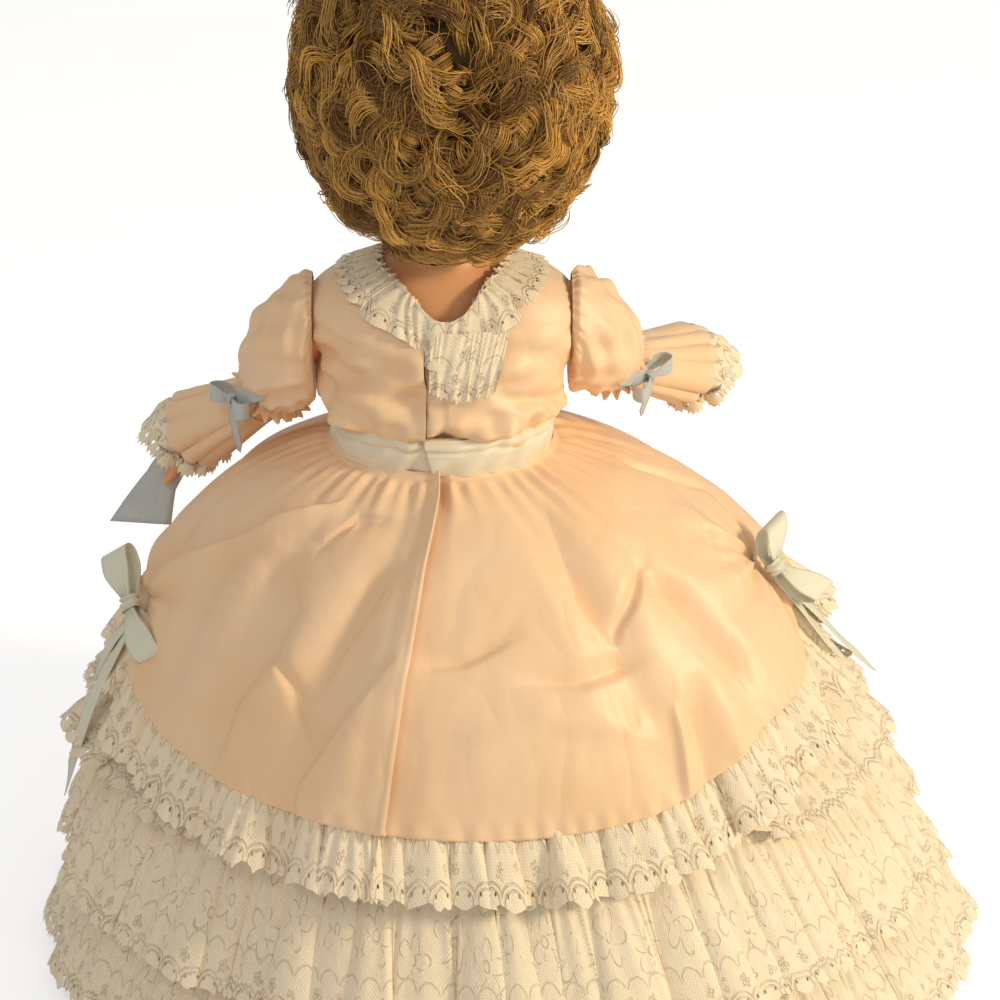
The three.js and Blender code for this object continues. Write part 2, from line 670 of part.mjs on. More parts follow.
const SHOE_TOP_Z = 15;
function shoe() {
  const opening = ellipsoid(v3(legCentreX(0), 0, SHOE_TOP_Z + 4), v3(8.6, 12, 9), 10, 6);
  return footBody(SEAT + SHOE_WALL, SOLE_T + SEAT)
    .subtract(footBody(SEAT, SOLE_T - 4))
    .subtract(block(v3(-20, -60, SHOE_TOP_Z), v3(60, 60, 60)))
    .subtract(opening);
}

function shoeSole() {
  const outline = new THREE.Shape();
  outline.absellipse(0, 0, FOOT_HALF_WIDTH + 2.4, FOOT_LENGTH / 2 + 2.4, 0, 2 * PI);
  const plate = new THREE.ExtrudeGeometry(outline, { depth: SOLE_T, bevelEnabled: false, curveSegments: 9 });
  plate.translate(legCentreX(0), HEEL_Y - FOOT_LENGTH / 2, 0);
  return plate;
}

const STRAP_Y = -11.4;
// The strap over the instep, cut from a layer that follows the shoe.
function shoeStrap() {
  const band = block(v3(-20, STRAP_Y - 2.2, SHOE_TOP_Z - 6), v3(60, STRAP_Y + 2.2, 40));
  return footBody(SEAT + 2 * SHOE_WALL + SEAT, SOLE_T)
    .subtract(footBody(SEAT + SHOE_WALL + SEAT, SOLE_T - 4))
    .intersect(band);
}
const shoeButton = () =>
  bar(1.8, v3(legCentreX(0) + 10.2, STRAP_Y, 11), v3(legCentreX(0) + 11.4, STRAP_Y, 11), 10);

// A leg-hugging tube of cloth between two heights.
function legTube(top, bottom, gap, thickness, stretchAt, folds = 0) {
  const sides = 12;
  const layer = (grow) =>
    grid(sides, 3, true, (u, v) => {
      const z = lerp(top, bottom, v);
      const ruffle = folds * smooth(v, 0.6, 1) * (round(u * sides) % 2);
      const turn = 2 * PI * u;
      const r = legRadiusAt(z) + grow + ruffle;
      return v3(legCentreX(z) + r * cos(turn), (r + stretchAt(v)) * sin(turn), z);
    });
  return cloth(layer(gap + thickness), layer(gap), true);
}
const pantalet = () => legTube(HIP_Z - 22, 44, SEAT + 0.7, CLOTH, (v) => 1 + 3 * v, 1.6);
const sock = () => legTube(40, 21.4, SEAT + 0.3, CLOTH, () => 0.2);

// The waist part of the pantalets, round the hips.
const PANTALET_TOP = 176.8;
function pantaletYoke() {
  const low = HIP_Z + HIP_R + 2.5;
  const rows = TORSO_ROWS.filter(([z]) => z > 150 && z < 205);
  const line = new THREE.CatmullRomCurve3(rows.map(([z, a, b]) => v3(a, b, z)));
  const all = line.getPoints(60);
  const at = (z) => all.reduce((best, p) => (abs(p.z - z) < abs(best.z - z) ? p : best));
  const layer = (grow) =>
    grid(18, 1, true, (u, v) => {
      const z = lerp(PANTALET_TOP, low, v);
      const { x: a, y: b } = at(z);
      const turn = 2 * PI * u;
      return v3((a + grow) * cos(turn), (b + grow) * sin(turn), z);
    });
  return cloth(layer(SEAT + 0.4 + CLOTH), layer(SEAT + 0.4), true);
}

// Skirts

const BELL = new THREE.CubicBezierCurve(
  v2(SKIRT_TOP_A, SKIRT_TOP_Z),
  SHOULDER_OF_BELL,
  SIDE_OF_BELL,
  v2(HEM_R, HEM_Z),
);

// A point on the bell at a share of the way down, a distance out from the underskirt's face.
function skirtPoint(angle, share, out) {
  const on = BELL.getPoint(share);
  const way = BELL.getTangent(share);
  const r = on.x - out * way.y;
  const z = on.y + out * way.x;
  const shift = -LEAN * (max(0, SKIRT_TOP_Z - on.y) / SKIRT_TOP_Z) ** 0.8;
  const depth = SKIRT_TOP_B + (r - SKIRT_TOP_A) * DEPTH_RATIO;
  return v3(shift + r * cos(angle), depth * sin(angle), z);
}

// The share of the way down at which the bell is at a height.
function shareAt(z) {
  let low = 0;
  let high = 1;
  for (let i = 0; i < 30; i++) {
    const middle = (low + high) / 2;
    if (BELL.getPoint(middle).y > z) low = middle;
    else high = middle;
  }
  return low;
}

function skirtLayer(columns, rows, from, to, closed, innerAt, thickness, shareOf) {
  const layer = (extra) =>
    grid(columns, rows, closed, (u, v) => {
      const angle = radians(lerp(from, to, u));
      const share = shareOf(angle, v);
      return skirtPoint(angle, share, innerAt(angle, share, v) + extra);
    });
  return cloth(layer(thickness), layer(0), closed);
}

// A plain layer all the way round, from the waist down to a height.
function plainSkirt(steps, inner, hemZ) {
  const hem = shareAt(hemZ);
  return skirtLayer(steps, 4, 0, 360, true, () => inner, CLOTH, (angle, v) => lerp(0, hem, v));
}
const underskirt = () => plainSkirt(UNDERSKIRT_STEPS, -CLOTH, UNDERSKIRT_HEM_Z);
const petticoat = () => plainSkirt(PETTICOAT_STEPS, -2 * CLOTH - PETTICOAT_GAP, PETTICOAT_HEM_Z);

// A gathered tier of lace, sewn on at its top edge. It stands out where the overskirt leaves it free,
// and more on the doll's left.
function flounce({ top, bottom, from, to, spring }) {
  const closed = to - from === 360;
  const turns = (to - from) / 360;
  const [high, low] = [shareAt(top), shareAt(bottom)];
  const gathers = (angle) => 0.5 + 0.5 * cos(FLOUNCE_GATHERS * angle);
  return skirtLayer(
    FLOUNCE_STEPS * turns,
    1,
    from,
    to,
    closed,
    (angle, share, v) => {
      const trimEdge = edgeShare(angle) + TRIM_WIDTH;
      const free = smooth(share, trimEdge, trimEdge + 0.12);
      const sprung = spring * free * (1 + 0.4 * cos(angle));
      return SEAT + v * (FLOUNCE_FLARE + sprung + FLOUNCE_FOLD * gathers(angle));
    },
    LACE,
    (angle, v) => lerp(high, low, v),
  );
}

// How far down the overskirt hangs at an angle.
function edgeShare(angle) {
  const start = LEFT_BOW.angle;
  const place = start + THREE.MathUtils.euclideanModulo(THREE.MathUtils.radToDeg(angle) - start, 360);
  const f = FESTOONS.find(({ to }) => place <= to) ?? FESTOONS[0];
  const along = (place - f.from) / (f.to - f.from);
  const hang = abs(sin(PI * along)) ** f.power;
  return shareAt(lerp(lerp(...f.high, along), f.low, hang));
}

const OVERSKIRT_FULL = shareAt(110);

// One at a bow, falling to nothing a little way round the skirt from it.
const nearness = (angle, bowAngle) => {
  const apart = 2 * sin((angle - radians(bowAngle)) / 2);
  return exp(-((apart / BOW_CALM) ** 4));
};

// The main folds down the back: where each runs at the waist and at the bows' height, its height, which
// is below nothing for a valley, and its width. All but the height are in degrees.
const BACK_FOLDS = [
  { waist: 52, edge: 42, height: -2.2, width: 5 },
  { waist: 80, edge: 63, height: -2.5, width: 4 },
  { waist: 88, edge: 72, height: 2.6, width: 6 },
  { waist: 112, edge: 121, height: -3, width: 4.5 },
  { waist: 134, edge: 141, height: -2.5, width: 4 },
];
function backFolds(angle, share) {
  const push = (fold) => {
    const path = lerp(fold.waist, fold.edge, share / OVERSKIRT_FULL);
    return fold.height * exp(-(((THREE.MathUtils.radToDeg(angle) - path) / fold.width) ** 2));
  };
  return BACK_FOLDS.reduce((sum, fold) => sum + push(fold), 0);
}

// How far the overskirt's lining side stands off the underskirt.
function overskirtAt(angle, share) {
  const lift = lerp(OVERSKIRT_TOP_GAP, OVERSKIRT_LIFT, smooth(share, 0, OVERSKIRT_FULL));
  const calm = [LEFT_BOW, RIGHT_BOW].reduce((sum, bow) => sum * (1 - nearness(angle, bow.angle)), 1);
  const fullness = smooth(share, 0.02, 0.45) * calm;
  const front = smooth(-sin(angle), -0.1, 0.5);
  const rolls = front * (0.3 * (1 + cos(9 * angle + 1.1)) + 0.2 * (1 + cos(14 * angle + 2.3)));
  const gathers = 0.9 * exp(-((share / 0.14) ** 2)) * (0.5 + 0.5 * cos(24 * angle));
  return lift + fullness * (OVERSKIRT_FOLD * rolls + backFolds(angle, share)) + gathers;
}

function overskirt() {
  const shareOf = (angle, v) => lerp(0.005, edgeShare(angle), v);
  return skirtLayer(OVERSKIRT_STEPS, OVERSKIRT_ROWS, 0, 360, true, overskirtAt, CLOTH, shareOf);
}

// The gathered lace under the overskirt's edge.
const overskirtTrim = () =>
  skirtLayer(
    OVERSKIRT_STEPS,
    1,
    0,
    360,
    true,
    (angle, share, v) => {
      const behind = overskirtAt(angle, min(share, edgeShare(angle))) - 2.5 * SEAT - LACE;
      return behind + TRIM_FOLD * v * (0.5 + 0.5 * cos(TRIM_GATHERS * angle));
    },
    LACE,
    (angle, v) => edgeShare(angle) + lerp(-0.02, TRIM_WIDTH, v),
  );

// Bodice, collar and sash

const BODICE_ROWS = [
  [WAISTBAND_Z[1] + SEAT, 32, 24.2],
  [SHOULDER_Z - 26, 33.6, 24.6],
  [SHOULDER_Z - 14, 38, 25.4],
  [SHOULDER_Z - 5, 41, 25],
  [SHOULDER_Z + 4, 40.6, 22.4],
  [NECK_Z - 9, 35, 18.8],
  [NECK_Z - 4, 23, 15.8],
  [NECK_Z - 1, 13, 11],
];
const BODICE_LINE = new THREE.CatmullRomCurve3(BODICE_ROWS.map(([z, a, b]) => v3(a, b, z)));
const BODICE_POINTS = BODICE_LINE.getPoints(120);
const NECKLINE_A = 17.5;
const NECKLINE_B = 20.5;

// The height of the bodice's top face over a point of the plan.
function bodiceHeight(x, y) {
  const hit = BODICE_POINTS.findLast((p) => (x / p.x) ** 2 + (y / p.y) ** 2 <= 1);
  return hit ? hit.z : WAIST_Z;
}
const bodiceAt = (z) => BODICE_POINTS.reduce((best, p) => (abs(p.z - z) < abs(best.z - z) ? p : best));

function bodice() {
  const outside = solid(lofted(BODICE_ROWS, 0, 7, 18)).intersect(
    block(v3(-ARMHOLE_X, -60, 150), v3(ARMHOLE_X, 60, 300)),
  );
  const inside = solid(lofted([[178, 32, 24.2], ...BODICE_ROWS], -CLOTH - 0.4, 7, 18)).intersect(
    block(v3(CLOTH - ARMHOLE_X, -60, 150), v3(ARMHOLE_X - CLOTH, 60, NECK_Z - 2.5)),
  );
  const neckBar = bar(1, v3(0, 0, NECK_Z - 21), v3(0, 0, NECK_Z + 14), 20);
  const neckHole = neckBar.scale([NECKLINE_A, NECKLINE_B, 1]);
  const armholes = bar(ARMHOLE_R, v3(-60, 0, SHOULDER_Z), v3(60, 0, SHOULDER_Z), 18);
  const backSlit = block(v3(2, 10, SHOULDER_Z - 28), v3(2.8, 40, NECK_Z - 1));
  return outside.subtract(joined(inside, neckHole, armholes, backSlit));
}

// A gathered lace collar that lies on the bodice round the neckline.
function collar() {
  const gathers = 15;
  const layer = (extra) =>
    grid(3 * gathers, 1, true, (u, v) => {
      const turn = 2 * PI * u;
      const reach = 11 * v;
      const x = (NECKLINE_A + 0.6 + reach * 0.9) * cos(turn);
      const y = (NECKLINE_B + 0.4 + reach * 0.34) * sin(turn);
      const ruffle = 2.6 * v * (0.5 + 0.5 * cos(gathers * turn));
      const steep = 1 + 1.1 * sin(turn) ** 2;
      return v3(x, y, bodiceHeight(x, y) + (SEAT + 0.5) * steep + 1.2 * v + ruffle + extra);
    });
  return cloth(layer(LACE), layer(0), true);
}

// The lace that closes the back of the neck, on the bodice's back.
function placketLace() {
  const layer = (extra) =>
    grid(6, 1, false, (u, v) => {
      const z = lerp(SHOULDER_Z - 1, SHOULDER_Z - 15, v);
      const x = lerp(4, -17, u);
      const { x: a, y: b } = bodiceAt(z);
      const ripple = 0.7 * (0.5 + 0.5 * cos(6 * PI * u));
      return v3(x, b * sqrt(1 - (x / a) ** 2) + SEAT + 0.2 + ripple + extra, z);
    });
  return cloth(layer(LACE), layer(0), false);
}

// A press stud on the back placket, seen as a flat disc.
const pressStud = (z) => {
  const face = bodiceAt(z).y - CLOTH - 0.4 - SEAT;
  return bar(2.2, v3(-1.4, face - 1.4, z), v3(-1.4, face - 0.5, z), 10);
};

function waistband() {
  const rim = (a, b) =>
    grid(18, 1, true, (u, v) => v3(a * cos(2 * PI * u), b * sin(2 * PI * u), lerp(...WAISTBAND_Z, v)));
  const inside = CLOTH + SEAT + 0.1;
  return cloth(rim(SKIRT_TOP_A - inside, SKIRT_TOP_B - inside), rim(31.2, 23.2), true);
}

// The satin sash. At the back its end on the doll's right lies over the other one.
function sash() {
  const layer = (extra) =>
    grid(30, 1, false, (u, v) => {
      const turn = radians(lerp(83 + SASH_LAP, -277, u));
      const lap = (SASH_T + SEAT) * smooth(u, 0.88, 0.96);
      const { x: a, y: b } = bodiceAt(WAISTBAND_Z[1] + SEAT + SASH_WIDTH * (1 - v));
      const out = 0.6 + lap + extra;
      const z = WAISTBAND_Z[1] + SEAT + SASH_WIDTH * (1 - v);
      return v3((a + out) * cos(turn), (b + out) * sin(turn), z);
    });
  return cloth(layer(SASH_T), layer(0), false);
}

// Sleeves

const UPPER_ARM = new THREE.CatmullRomCurve3(ARM_PATH.slice(0, 3));
const FOREARM = new THREE.CatmullRomCurve3(ARM_PATH.slice(2));

// The puffed upper sleeve, round at the armhole, flat where it lies against the bodice
// and drawn in at the elbow.
function sleeve() {
  const layer = (grow) => {
    const rings = tubeRings(
      UPPER_ARM,
      SLEEVE_STATIONS,
      (share, i) => (turn) => SLEEVE_RADII[i] + grow + 0.7 * sin(PI * share) * cos(SLEEVE_FOLDS * turn),
      2 * SLEEVE_FOLDS,
      (share) => v3(1, 0, 0).lerp(UPPER_ARM.getTangent(share), min(1, 1.4 * share)),
    );
    const nearest = ARMHOLE_X + SEAT - grow;
    const column = (k) => rings.map((ring) => v3(max(ring[k].x, nearest), ring[k].y, ring[k].z));
    return rings[0].map((_, k) => column(k));
  };
  return cloth(layer(0), layer(-CLOTH), true);
}

// The flared lower sleeve and the lace on its edge are rings across the forearm.
function forearmPoint(share) {
  const past = max(0, share - 1) * FOREARM.getLength();
  return FOREARM.getPoint(min(1, share)).addScaledVector(HAND_WAY, past);
}
function forearmFlare(from, to, innerAt, thickness, steps, gathers, fold) {
  const layer = (extra) =>
    grid(steps, 1, true, (u, v) => {
      const turn = 2 * PI * u;
      const share = lerp(from, to, v);
      const ruffle = fold * v * (0.5 + 0.5 * cos(gathers * turn));
      const along = FOREARM.getTangent(min(1, share));
      const reach = v3(0, 0, 1).cross(along).setLength(innerAt(v) + ruffle + extra);
      return reach.applyAxisAngle(along, turn).add(forearmPoint(share));
    });
  return cloth(layer(thickness), layer(0), true);
}
const sleeveFlounce = () => forearmFlare(0.12, 0.86, (v) => lerp(8.1, 10.4, v), CLOTH, 24, 8, 1);
const cuffLace = () => forearmFlare(0.8, 1.08, (v) => lerp(8.6, 11.2, v), LACE, 24, 8, 2);

// Ribbon bows

// A bow in its own frame: loops along X, the cloth behind it towards -Y, and the ribbon's width along Z.
function bowBody() {
  const loop = new THREE.Shape();
  loop.moveTo(0, -1);
  loop.bezierCurveTo(LOOP_LENGTH * 0.5, -1.6, LOOP_LENGTH, -1, LOOP_LENGTH, LOOP_DEPTH / 2);
  loop.bezierCurveTo(LOOP_LENGTH, LOOP_DEPTH + 1, LOOP_LENGTH * 0.5, LOOP_DEPTH * 0.7, 0, 2.4);
  const hollow = new THREE.Path();
  const inner = LOOP_LENGTH - RIBBON_T;
  hollow.moveTo(2, 0.4);
  hollow.bezierCurveTo(LOOP_LENGTH * 0.5, -0.5, inner, 0, inner, LOOP_DEPTH / 2);
  hollow.bezierCurveTo(inner, LOOP_DEPTH, LOOP_LENGTH * 0.5, LOOP_DEPTH * 0.7 - 1, 2, 1.2);
  loop.holes.push(hollow);
  const side = (way) => {
    const options = { depth: RIBBON_WIDTH, bevelEnabled: false, curveSegments: 3 };
    const wing = new THREE.ExtrudeGeometry(loop, options);
    wing.translate(0, 0, -RIBBON_WIDTH / 2);
    const at = wing.attributes.position;
    for (let i = 0; i < at.count; i++) {
      const spread = 0.5 + 0.6 * smooth(at.getX(i) / LOOP_LENGTH, 0, 0.8);
      at.setZ(i, at.getZ(i) * spread);
    }
    if (way < 0) wing.rotateZ(PI).rotateX(PI);
    return solid(wing);
  };
  const knot = ellipsoid(v3(0, 1.2, 0), v3(3.6, 3.2, 3.8), 8, 5);
  return joined(side(1), side(-1), knot);
}

// A ribbon tail that hangs over the skirt from a bow, towards an angle and a height.
function skirtTail(bow, swing, length, out) {
  const [top, bottom] = [shareAt(bow.z), shareAt(bow.z - length)];
  const half = RIBBON_WIDTH / 2 / 110;
  const layer = (extra) =>
    grid(1, 3, false, (u, v) => {
      const slant = 0.018 * (u - 0.5) * smooth(v, 0.8, 1);
      const centre = radians(bow.angle + swing * v);
      const spread = half * (0.6 + 0.4 * smooth(v, 0, 0.3));
      const offset = out + TAIL_LIFT * v + extra;
      return skirtPoint(centre + lerp(-spread, spread, u), lerp(top, bottom, v) + slant, offset);
    });
  return solid(cloth(layer(RIBBON_T), layer(0), false));
}

// A bow on the overskirt. Its knot rests on the cloth and its loops lean by the roll.
function skirtBow(bow, roll, tails) {
  const angle = radians(bow.angle);
  const share = shareAt(bow.z);
  const out = overskirtAt(angle, share) + CLOTH + SEAT + KNOT_BACK;
  const base = skirtPoint(angle, share, out);
  const away = skirtPoint(angle, share, out + 1).sub(base).normalize();
  const level = v3(-sin(angle), cos(angle), 0).projectOnPlane(away).normalize();
  const frame = new THREE.Matrix4().makeBasis(level, away, level.clone().cross(away));
  frame.multiply(new THREE.Matrix4().makeRotationY(radians(roll)));
  frame.setPosition(base);
  const knot = solid(shape(bowBody()).applyMatrix4(frame));
  return joined(knot, ...tails.map(([swing, length]) => skirtTail(bow, swing, length, out - 1)));
}

// A small bow with two short tails at the outside of the elbow.
function sleeveBow() {
  const strip = new THREE.Shape([v2(-2.6, 0), v2(2.6, 0), v2(4.4, -20), v2(-1.4, -25)]);
  const tail = (turn) => {
    const cut = new THREE.ExtrudeGeometry(strip, { depth: RIBBON_T, bevelEnabled: false });
    cut.rotateX(PI / 2).rotateY(radians(turn)).translate(0, 0.4, 0);
    return solid(cut);
  };
  const bow = joined(bowBody(), tail(8), tail(-112)).scale([SLEEVE_BOW_SCALE, 0.8, SLEEVE_BOW_SCALE]);
  const away = v3(0.83, 0.55, 0.07).normalize();
  const level = away.clone().cross(v3(0, 0, 1)).normalize();
  const frame = new THREE.Matrix4().makeBasis(level, away, level.clone().cross(away));
  frame.setPosition(ARM_PATH[2].clone().addScaledVector(away, SLEEVE_BOW_REACH));
  return shape(bow).applyMatrix4(frame);
}

// Assembly

const doll = new THREE.Group();

doll.add(
  piece("torso", shape(torso()), VINYL),
  piece("pantalet_yoke", pantaletYoke(), COTTON),
  piece("petticoat", petticoat(), NET),
  piece("underskirt", underskirt(), TAFFETA),
  ...TIERS.map((tier) => piece(tier.name, flounce(tier), LACE_NET)),
  piece("overskirt", overskirt(), TAFFETA),
  piece("overskirt_trim", overskirtTrim(), LACE_NET),
  piece("waistband", waistband(), TAFFETA),
  piece("bodice", shape(bodice()), TAFFETA),
  piece("collar_lace", collar(), LACE_NET),
  piece("placket_lace", placketLace(), LACE_NET),
  piece("press_stud_upper", shape(pressStud(SHOULDER_Z - 10)), SNAP_METAL),
  piece("press_stud_lower", shape(pressStud(SHOULDER_Z - 23)), SNAP_METAL),
  piece("sash", sash(), SASH_SATIN),
);

doll.add(
  piece("skirt_bow_left", shape(skirtBow(LEFT_BOW, 62, [[-4, 42], [4, 28]])), BOW_SATIN),
  piece("skirt_bow_right", shape(skirtBow(RIGHT_BOW, -50, [[5, 44], [-4, 30]])), BOW_SATIN),
);

const headGroup = new THREE.Group();
headGroup.add(piece("head", shape(head()), VINYL), piece("hair", shape(hair()), HAIR_FIBRE));
const eye = new THREE.Group();
eye.add(piece("eyeball_left", eyeball(), EYE_GLOSS), piece("eyelash_left", eyelash(), LASH));
headGroup.add(
  eye,
  mirrored(eye),
  piece("eye_rocker", shape(eyeRocker()), STEEL),
  piece("eye_weight", shape(eyeWeight()), STEEL),
);
doll.add(headGroup);

const leftArm = hinged(v3(SHOULDER_FACE_X, 0, SHOULDER_Z), [
  piece("arm_left", shape(arm()), VINYL),
  piece("sleeve_left", sleeve(), TAFFETA),
  piece("sleeve_flounce_left", sleeveFlounce(), TAFFETA),
  piece("cuff_lace_left", cuffLace(), LACE_NET),
  piece("sleeve_bow_left", sleeveBow(), BLUE_SATIN),
]);
const rightArm = mirrored(leftArm);
rightArm.rotation.x = -radians(RIGHT_ARM_SWING);
doll.add(leftArm, rightArm);

const leftLeg = hinged(v3(LEG_FACE_X, 0, HIP_Z), [
  piece("leg_left", shape(leg()), VINYL),
  piece("pantalet_left", pantalet(), COTTON),
  piece("sock_left", sock(), COTTON),
  piece("shoe_left", shape(shoe()), SHOE_VINYL),
  piece("shoe_sole_left", shoeSole(), SHOE_VINYL),
  piece("shoe_strap_left", shape(shoeStrap()), SHOE_VINYL),
  piece("shoe_button_left", shape(shoeButton()), SNAP_METAL),
]);
doll.add(leftLeg, mirrored(leftLeg));

doll.position.x = BODY_X;

export default doll;
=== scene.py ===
import math

import bpy
import numpy as np
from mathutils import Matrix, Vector


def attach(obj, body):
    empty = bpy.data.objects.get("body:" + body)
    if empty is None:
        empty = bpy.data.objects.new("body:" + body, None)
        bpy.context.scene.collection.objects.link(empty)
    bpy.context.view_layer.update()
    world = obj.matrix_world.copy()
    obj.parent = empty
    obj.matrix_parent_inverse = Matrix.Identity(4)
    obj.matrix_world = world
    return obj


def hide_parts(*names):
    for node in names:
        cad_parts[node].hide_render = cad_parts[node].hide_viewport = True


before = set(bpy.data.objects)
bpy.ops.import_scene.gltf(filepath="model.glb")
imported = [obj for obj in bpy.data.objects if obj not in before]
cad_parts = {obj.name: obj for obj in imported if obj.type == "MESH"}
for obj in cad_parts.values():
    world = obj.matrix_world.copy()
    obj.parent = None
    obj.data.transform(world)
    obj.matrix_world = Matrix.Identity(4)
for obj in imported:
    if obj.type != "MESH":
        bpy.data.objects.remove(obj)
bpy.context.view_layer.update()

MM = 0.001
BODY_X = 21.4  # where the doll's own axis stands in the part's frame
SEAT = 0.35  # the gap between pieces that rest on each other
SIDES = {"left": 1, "right": -1}

# Landmarks shared with the part
SHOULDER_Z = 226
NECK_Z = SHOULDER_Z + 20
HIP_Z = 150
SKULL = np.array([36, 38, 42])
HEAD_Z = NECK_Z + 12 + SKULL[2]
NECK_R = 12.5
EYE = np.array([0.39 * SKULL[0], -0.62 * SKULL[1], HEAD_Z - 3])
EYE_R = 10
IRIS_R = 4.3
PUPIL_R = 1.7
CHEEK = (20, HEAD_Z - 17)
BROW = (13, HEAD_Z + 9.5)
MOUTH_Z = HEAD_Z - 22.4
HAIR_CENTRE = np.array([-2.8, 4, HEAD_Z + 1])
HAIR_RADII = np.array([47.6, 48, 54])
RIGHT_ARM_SWING = 18
SHOULDER_PIVOT = np.array([-31.5, 0, SHOULDER_Z])

# The lace's edge: the width and depth of its scallops and of the picots on them
SCALLOP = 8.0
SCALLOP_DEPTH = 1.6
PICOT = 1.6
PICOT_DEPTH = 1.2
THREAD = 0.3
ARCHES_IN = 9.5  # how far in from the edge its second row of arches lies


# Numbers and points


def lerp(a, b, share):
    return a + (b - a) * share


def smooth(x, low, high):
    share = np.clip((x - low) / (high - low), 0, 1)
    return share * share * (3 - 2 * share)


def bump(x, width):
    return np.exp(-((x / width) ** 2))


def point(x, y, z):
    return np.stack(np.broadcast_arrays(x, y, z), axis=-1).astype(float)


def unit(v):
    return v / np.maximum(np.linalg.norm(v, axis=-1, keepdims=True), 1e-9)


def arc_lengths(line):
    """The distance along a line of points, starting from nothing."""
    steps = np.linalg.norm(np.diff(line, axis=0), axis=1)
    return np.concatenate([[0], np.cumsum(steps)])


def spline(knots, share):
    """A smooth curve through knots, at shares of the way along it."""
    knots = np.asarray(knots, float)
    line = np.array([2 * knots[0] - knots[1], *knots, 2 * knots[-1] - knots[-2]])
    place = np.clip(share, 0, 1) * (len(knots) - 1)
    i = np.minimum(place.astype(int), len(knots) - 2)
    t = (place - i)[..., None]
    a, b, c, d = (line[i + k] for k in range(4))
    return 0.5 * (2 * b + (c - a) * t + (2 * a - 5 * b + 4 * c - d) * t**2 + (3 * b - a - 3 * c + d) * t**3)


def bezier(a, b, c, d, t):
    t = np.asarray(t, float)[..., None]
    a, b, c, d = (np.asarray(p, float) for p in (a, b, c, d))
    return a * (1 - t) ** 3 + 3 * b * t * (1 - t) ** 2 + 3 * c * t**2 * (1 - t) + d * t**3


def sheet_shares(columns, rows, closed=False):
    """Shares of the way along a sheet, as a column, and of the way down it, as a row."""
    along = np.linspace(0, 1, columns, endpoint=not closed)
    return along[:, None], np.linspace(0, 1, rows)[None, :]


def full_turn(count):
    """Angles all the way round, as a column."""
    return np.linspace(0, 2 * np.pi, count, endpoint=False)[:, None]


def turned(angle, first, second):
    """The way at an angle from the first of two ways towards the second."""
    return np.cos(angle) * first + np.sin(angle) * second


def square_to(along, hint):
    """Two ways square to a line's own and to each other, the first as near the hint as it can be."""
    hint = np.asarray(hint, float)
    side = unit(hint - along * (along @ hint)[..., None])
    return side, np.cross(along, side)


def xyz(points):
    """The x, y and z of points, each as an array."""
    return np.moveaxis(points, -1, 0)


def on_ball(turn, drop):
    """Points of a ball at angles round it and down from its top."""
    return point(np.cos(turn) * np.sin(drop), np.sin(turn) * np.sin(drop), np.cos(drop))


class Waves:
    """Seeded smooth unevenness, mostly between -1 and 1, with waves of about the given lengths."""

    def __init__(self, seed, *lengths, loop=None, count=7):
        rng = np.random.default_rng(seed)
        pace = rng.uniform(0.6, 1.6, (count, len(lengths))) / np.array(lengths)
        pace *= rng.choice([-1, 1], pace.shape)
        if loop:
            pace[:, 0] = np.round(pace[:, 0] * loop) / loop
        self.pace = 2 * np.pi * pace
        self.phase = rng.uniform(0, 2 * np.pi, count)

    def __call__(self, *places):
        total = 0
        for pace, phase in zip(self.pace, self.phase):
            total = total + np.sin(sum(k * x for k, x in zip(pace, places)) + phase)
        return total * math.sqrt(2 / len(self.phase))


# Meshes


def mesh_from(name, points, faces, uvs=None):
    """A mesh of points in millimetres, faces that all have as many corners, and a map place per corner."""
    mesh = bpy.data.meshes.new(name)
    placed = (np.asarray(points, float) + [BODY_X, 0, 0]) * MM
    mesh.vertices.add(len(placed))
    mesh.vertices.foreach_set("co", placed.ravel())
    mesh.loops.add(faces.size)
    mesh.loops.foreach_set("vertex_index", faces.ravel().astype(np.int32))
    mesh.polygons.add(len(faces))
    mesh.polygons.foreach_set("loop_start", np.arange(0, faces.size, faces.shape[1], dtype=np.int32))
    shade_smooth(mesh)
    if uvs is not None:
        mesh.uv_layers.new(name="map").data.foreach_set("uv", np.asarray(uvs, float).ravel())
    mesh.update(calc_edges=True)
    return mesh


def shade_smooth(mesh):
    mesh.polygons.foreach_set("use_smooth", np.full(len(mesh.polygons), True))


def grid_corners(columns, rows, closed):
    """The column and the row of each quad's corners. A closed grid goes on past its last column."""
    spans = columns if closed else columns - 1
    i, j = np.meshgrid(np.arange(spans), np.arange(rows - 1), indexing="ij")
    return np.stack([i, i + 1, i + 1, i], axis=-1), np.stack([j, j, j + 1, j + 1], axis=-1)


def grid_faces(columns, rows, closed=False):
    column, row = grid_corners(columns, rows, closed)
    return (column % columns * rows + row).reshape(-1, 4)


def grid_mesh(name, points, u=None, v=None, closed=False):
    """A sheet from points[column, row]. Without a map given, it is measured along the grid."""
    columns, rows = points.shape[:2]
    if u is None:
        around = np.concatenate([points, points[:1]]) if closed else points
        down = arc_lengths(points[columns // 2])
        u, v = np.meshgrid(arc_lengths(around[:, rows // 2]), down[-1] - down, indexing="ij")
    column, row = grid_corners(columns, rows, closed)
    uvs = np.stack([u[column, row], v[column, row]], axis=-1)
    return mesh_from(name, points.reshape(-1, 3), grid_faces(columns, rows, closed), uvs)


def linked(data):
    """A new object of the scene, with the name of its data."""
    thing = bpy.data.objects.new(data.name, data)
    bpy.context.collection.objects.link(thing)
    return thing


def show(mesh, material, body="torso", stands_for=()):
    """The mesh as a piece of the doll, riding on a body of the part."""
    piece = linked(mesh)
    mesh.materials.append(material)
    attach(piece, body)
    if stands_for:
        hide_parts(*stands_for)
    return piece


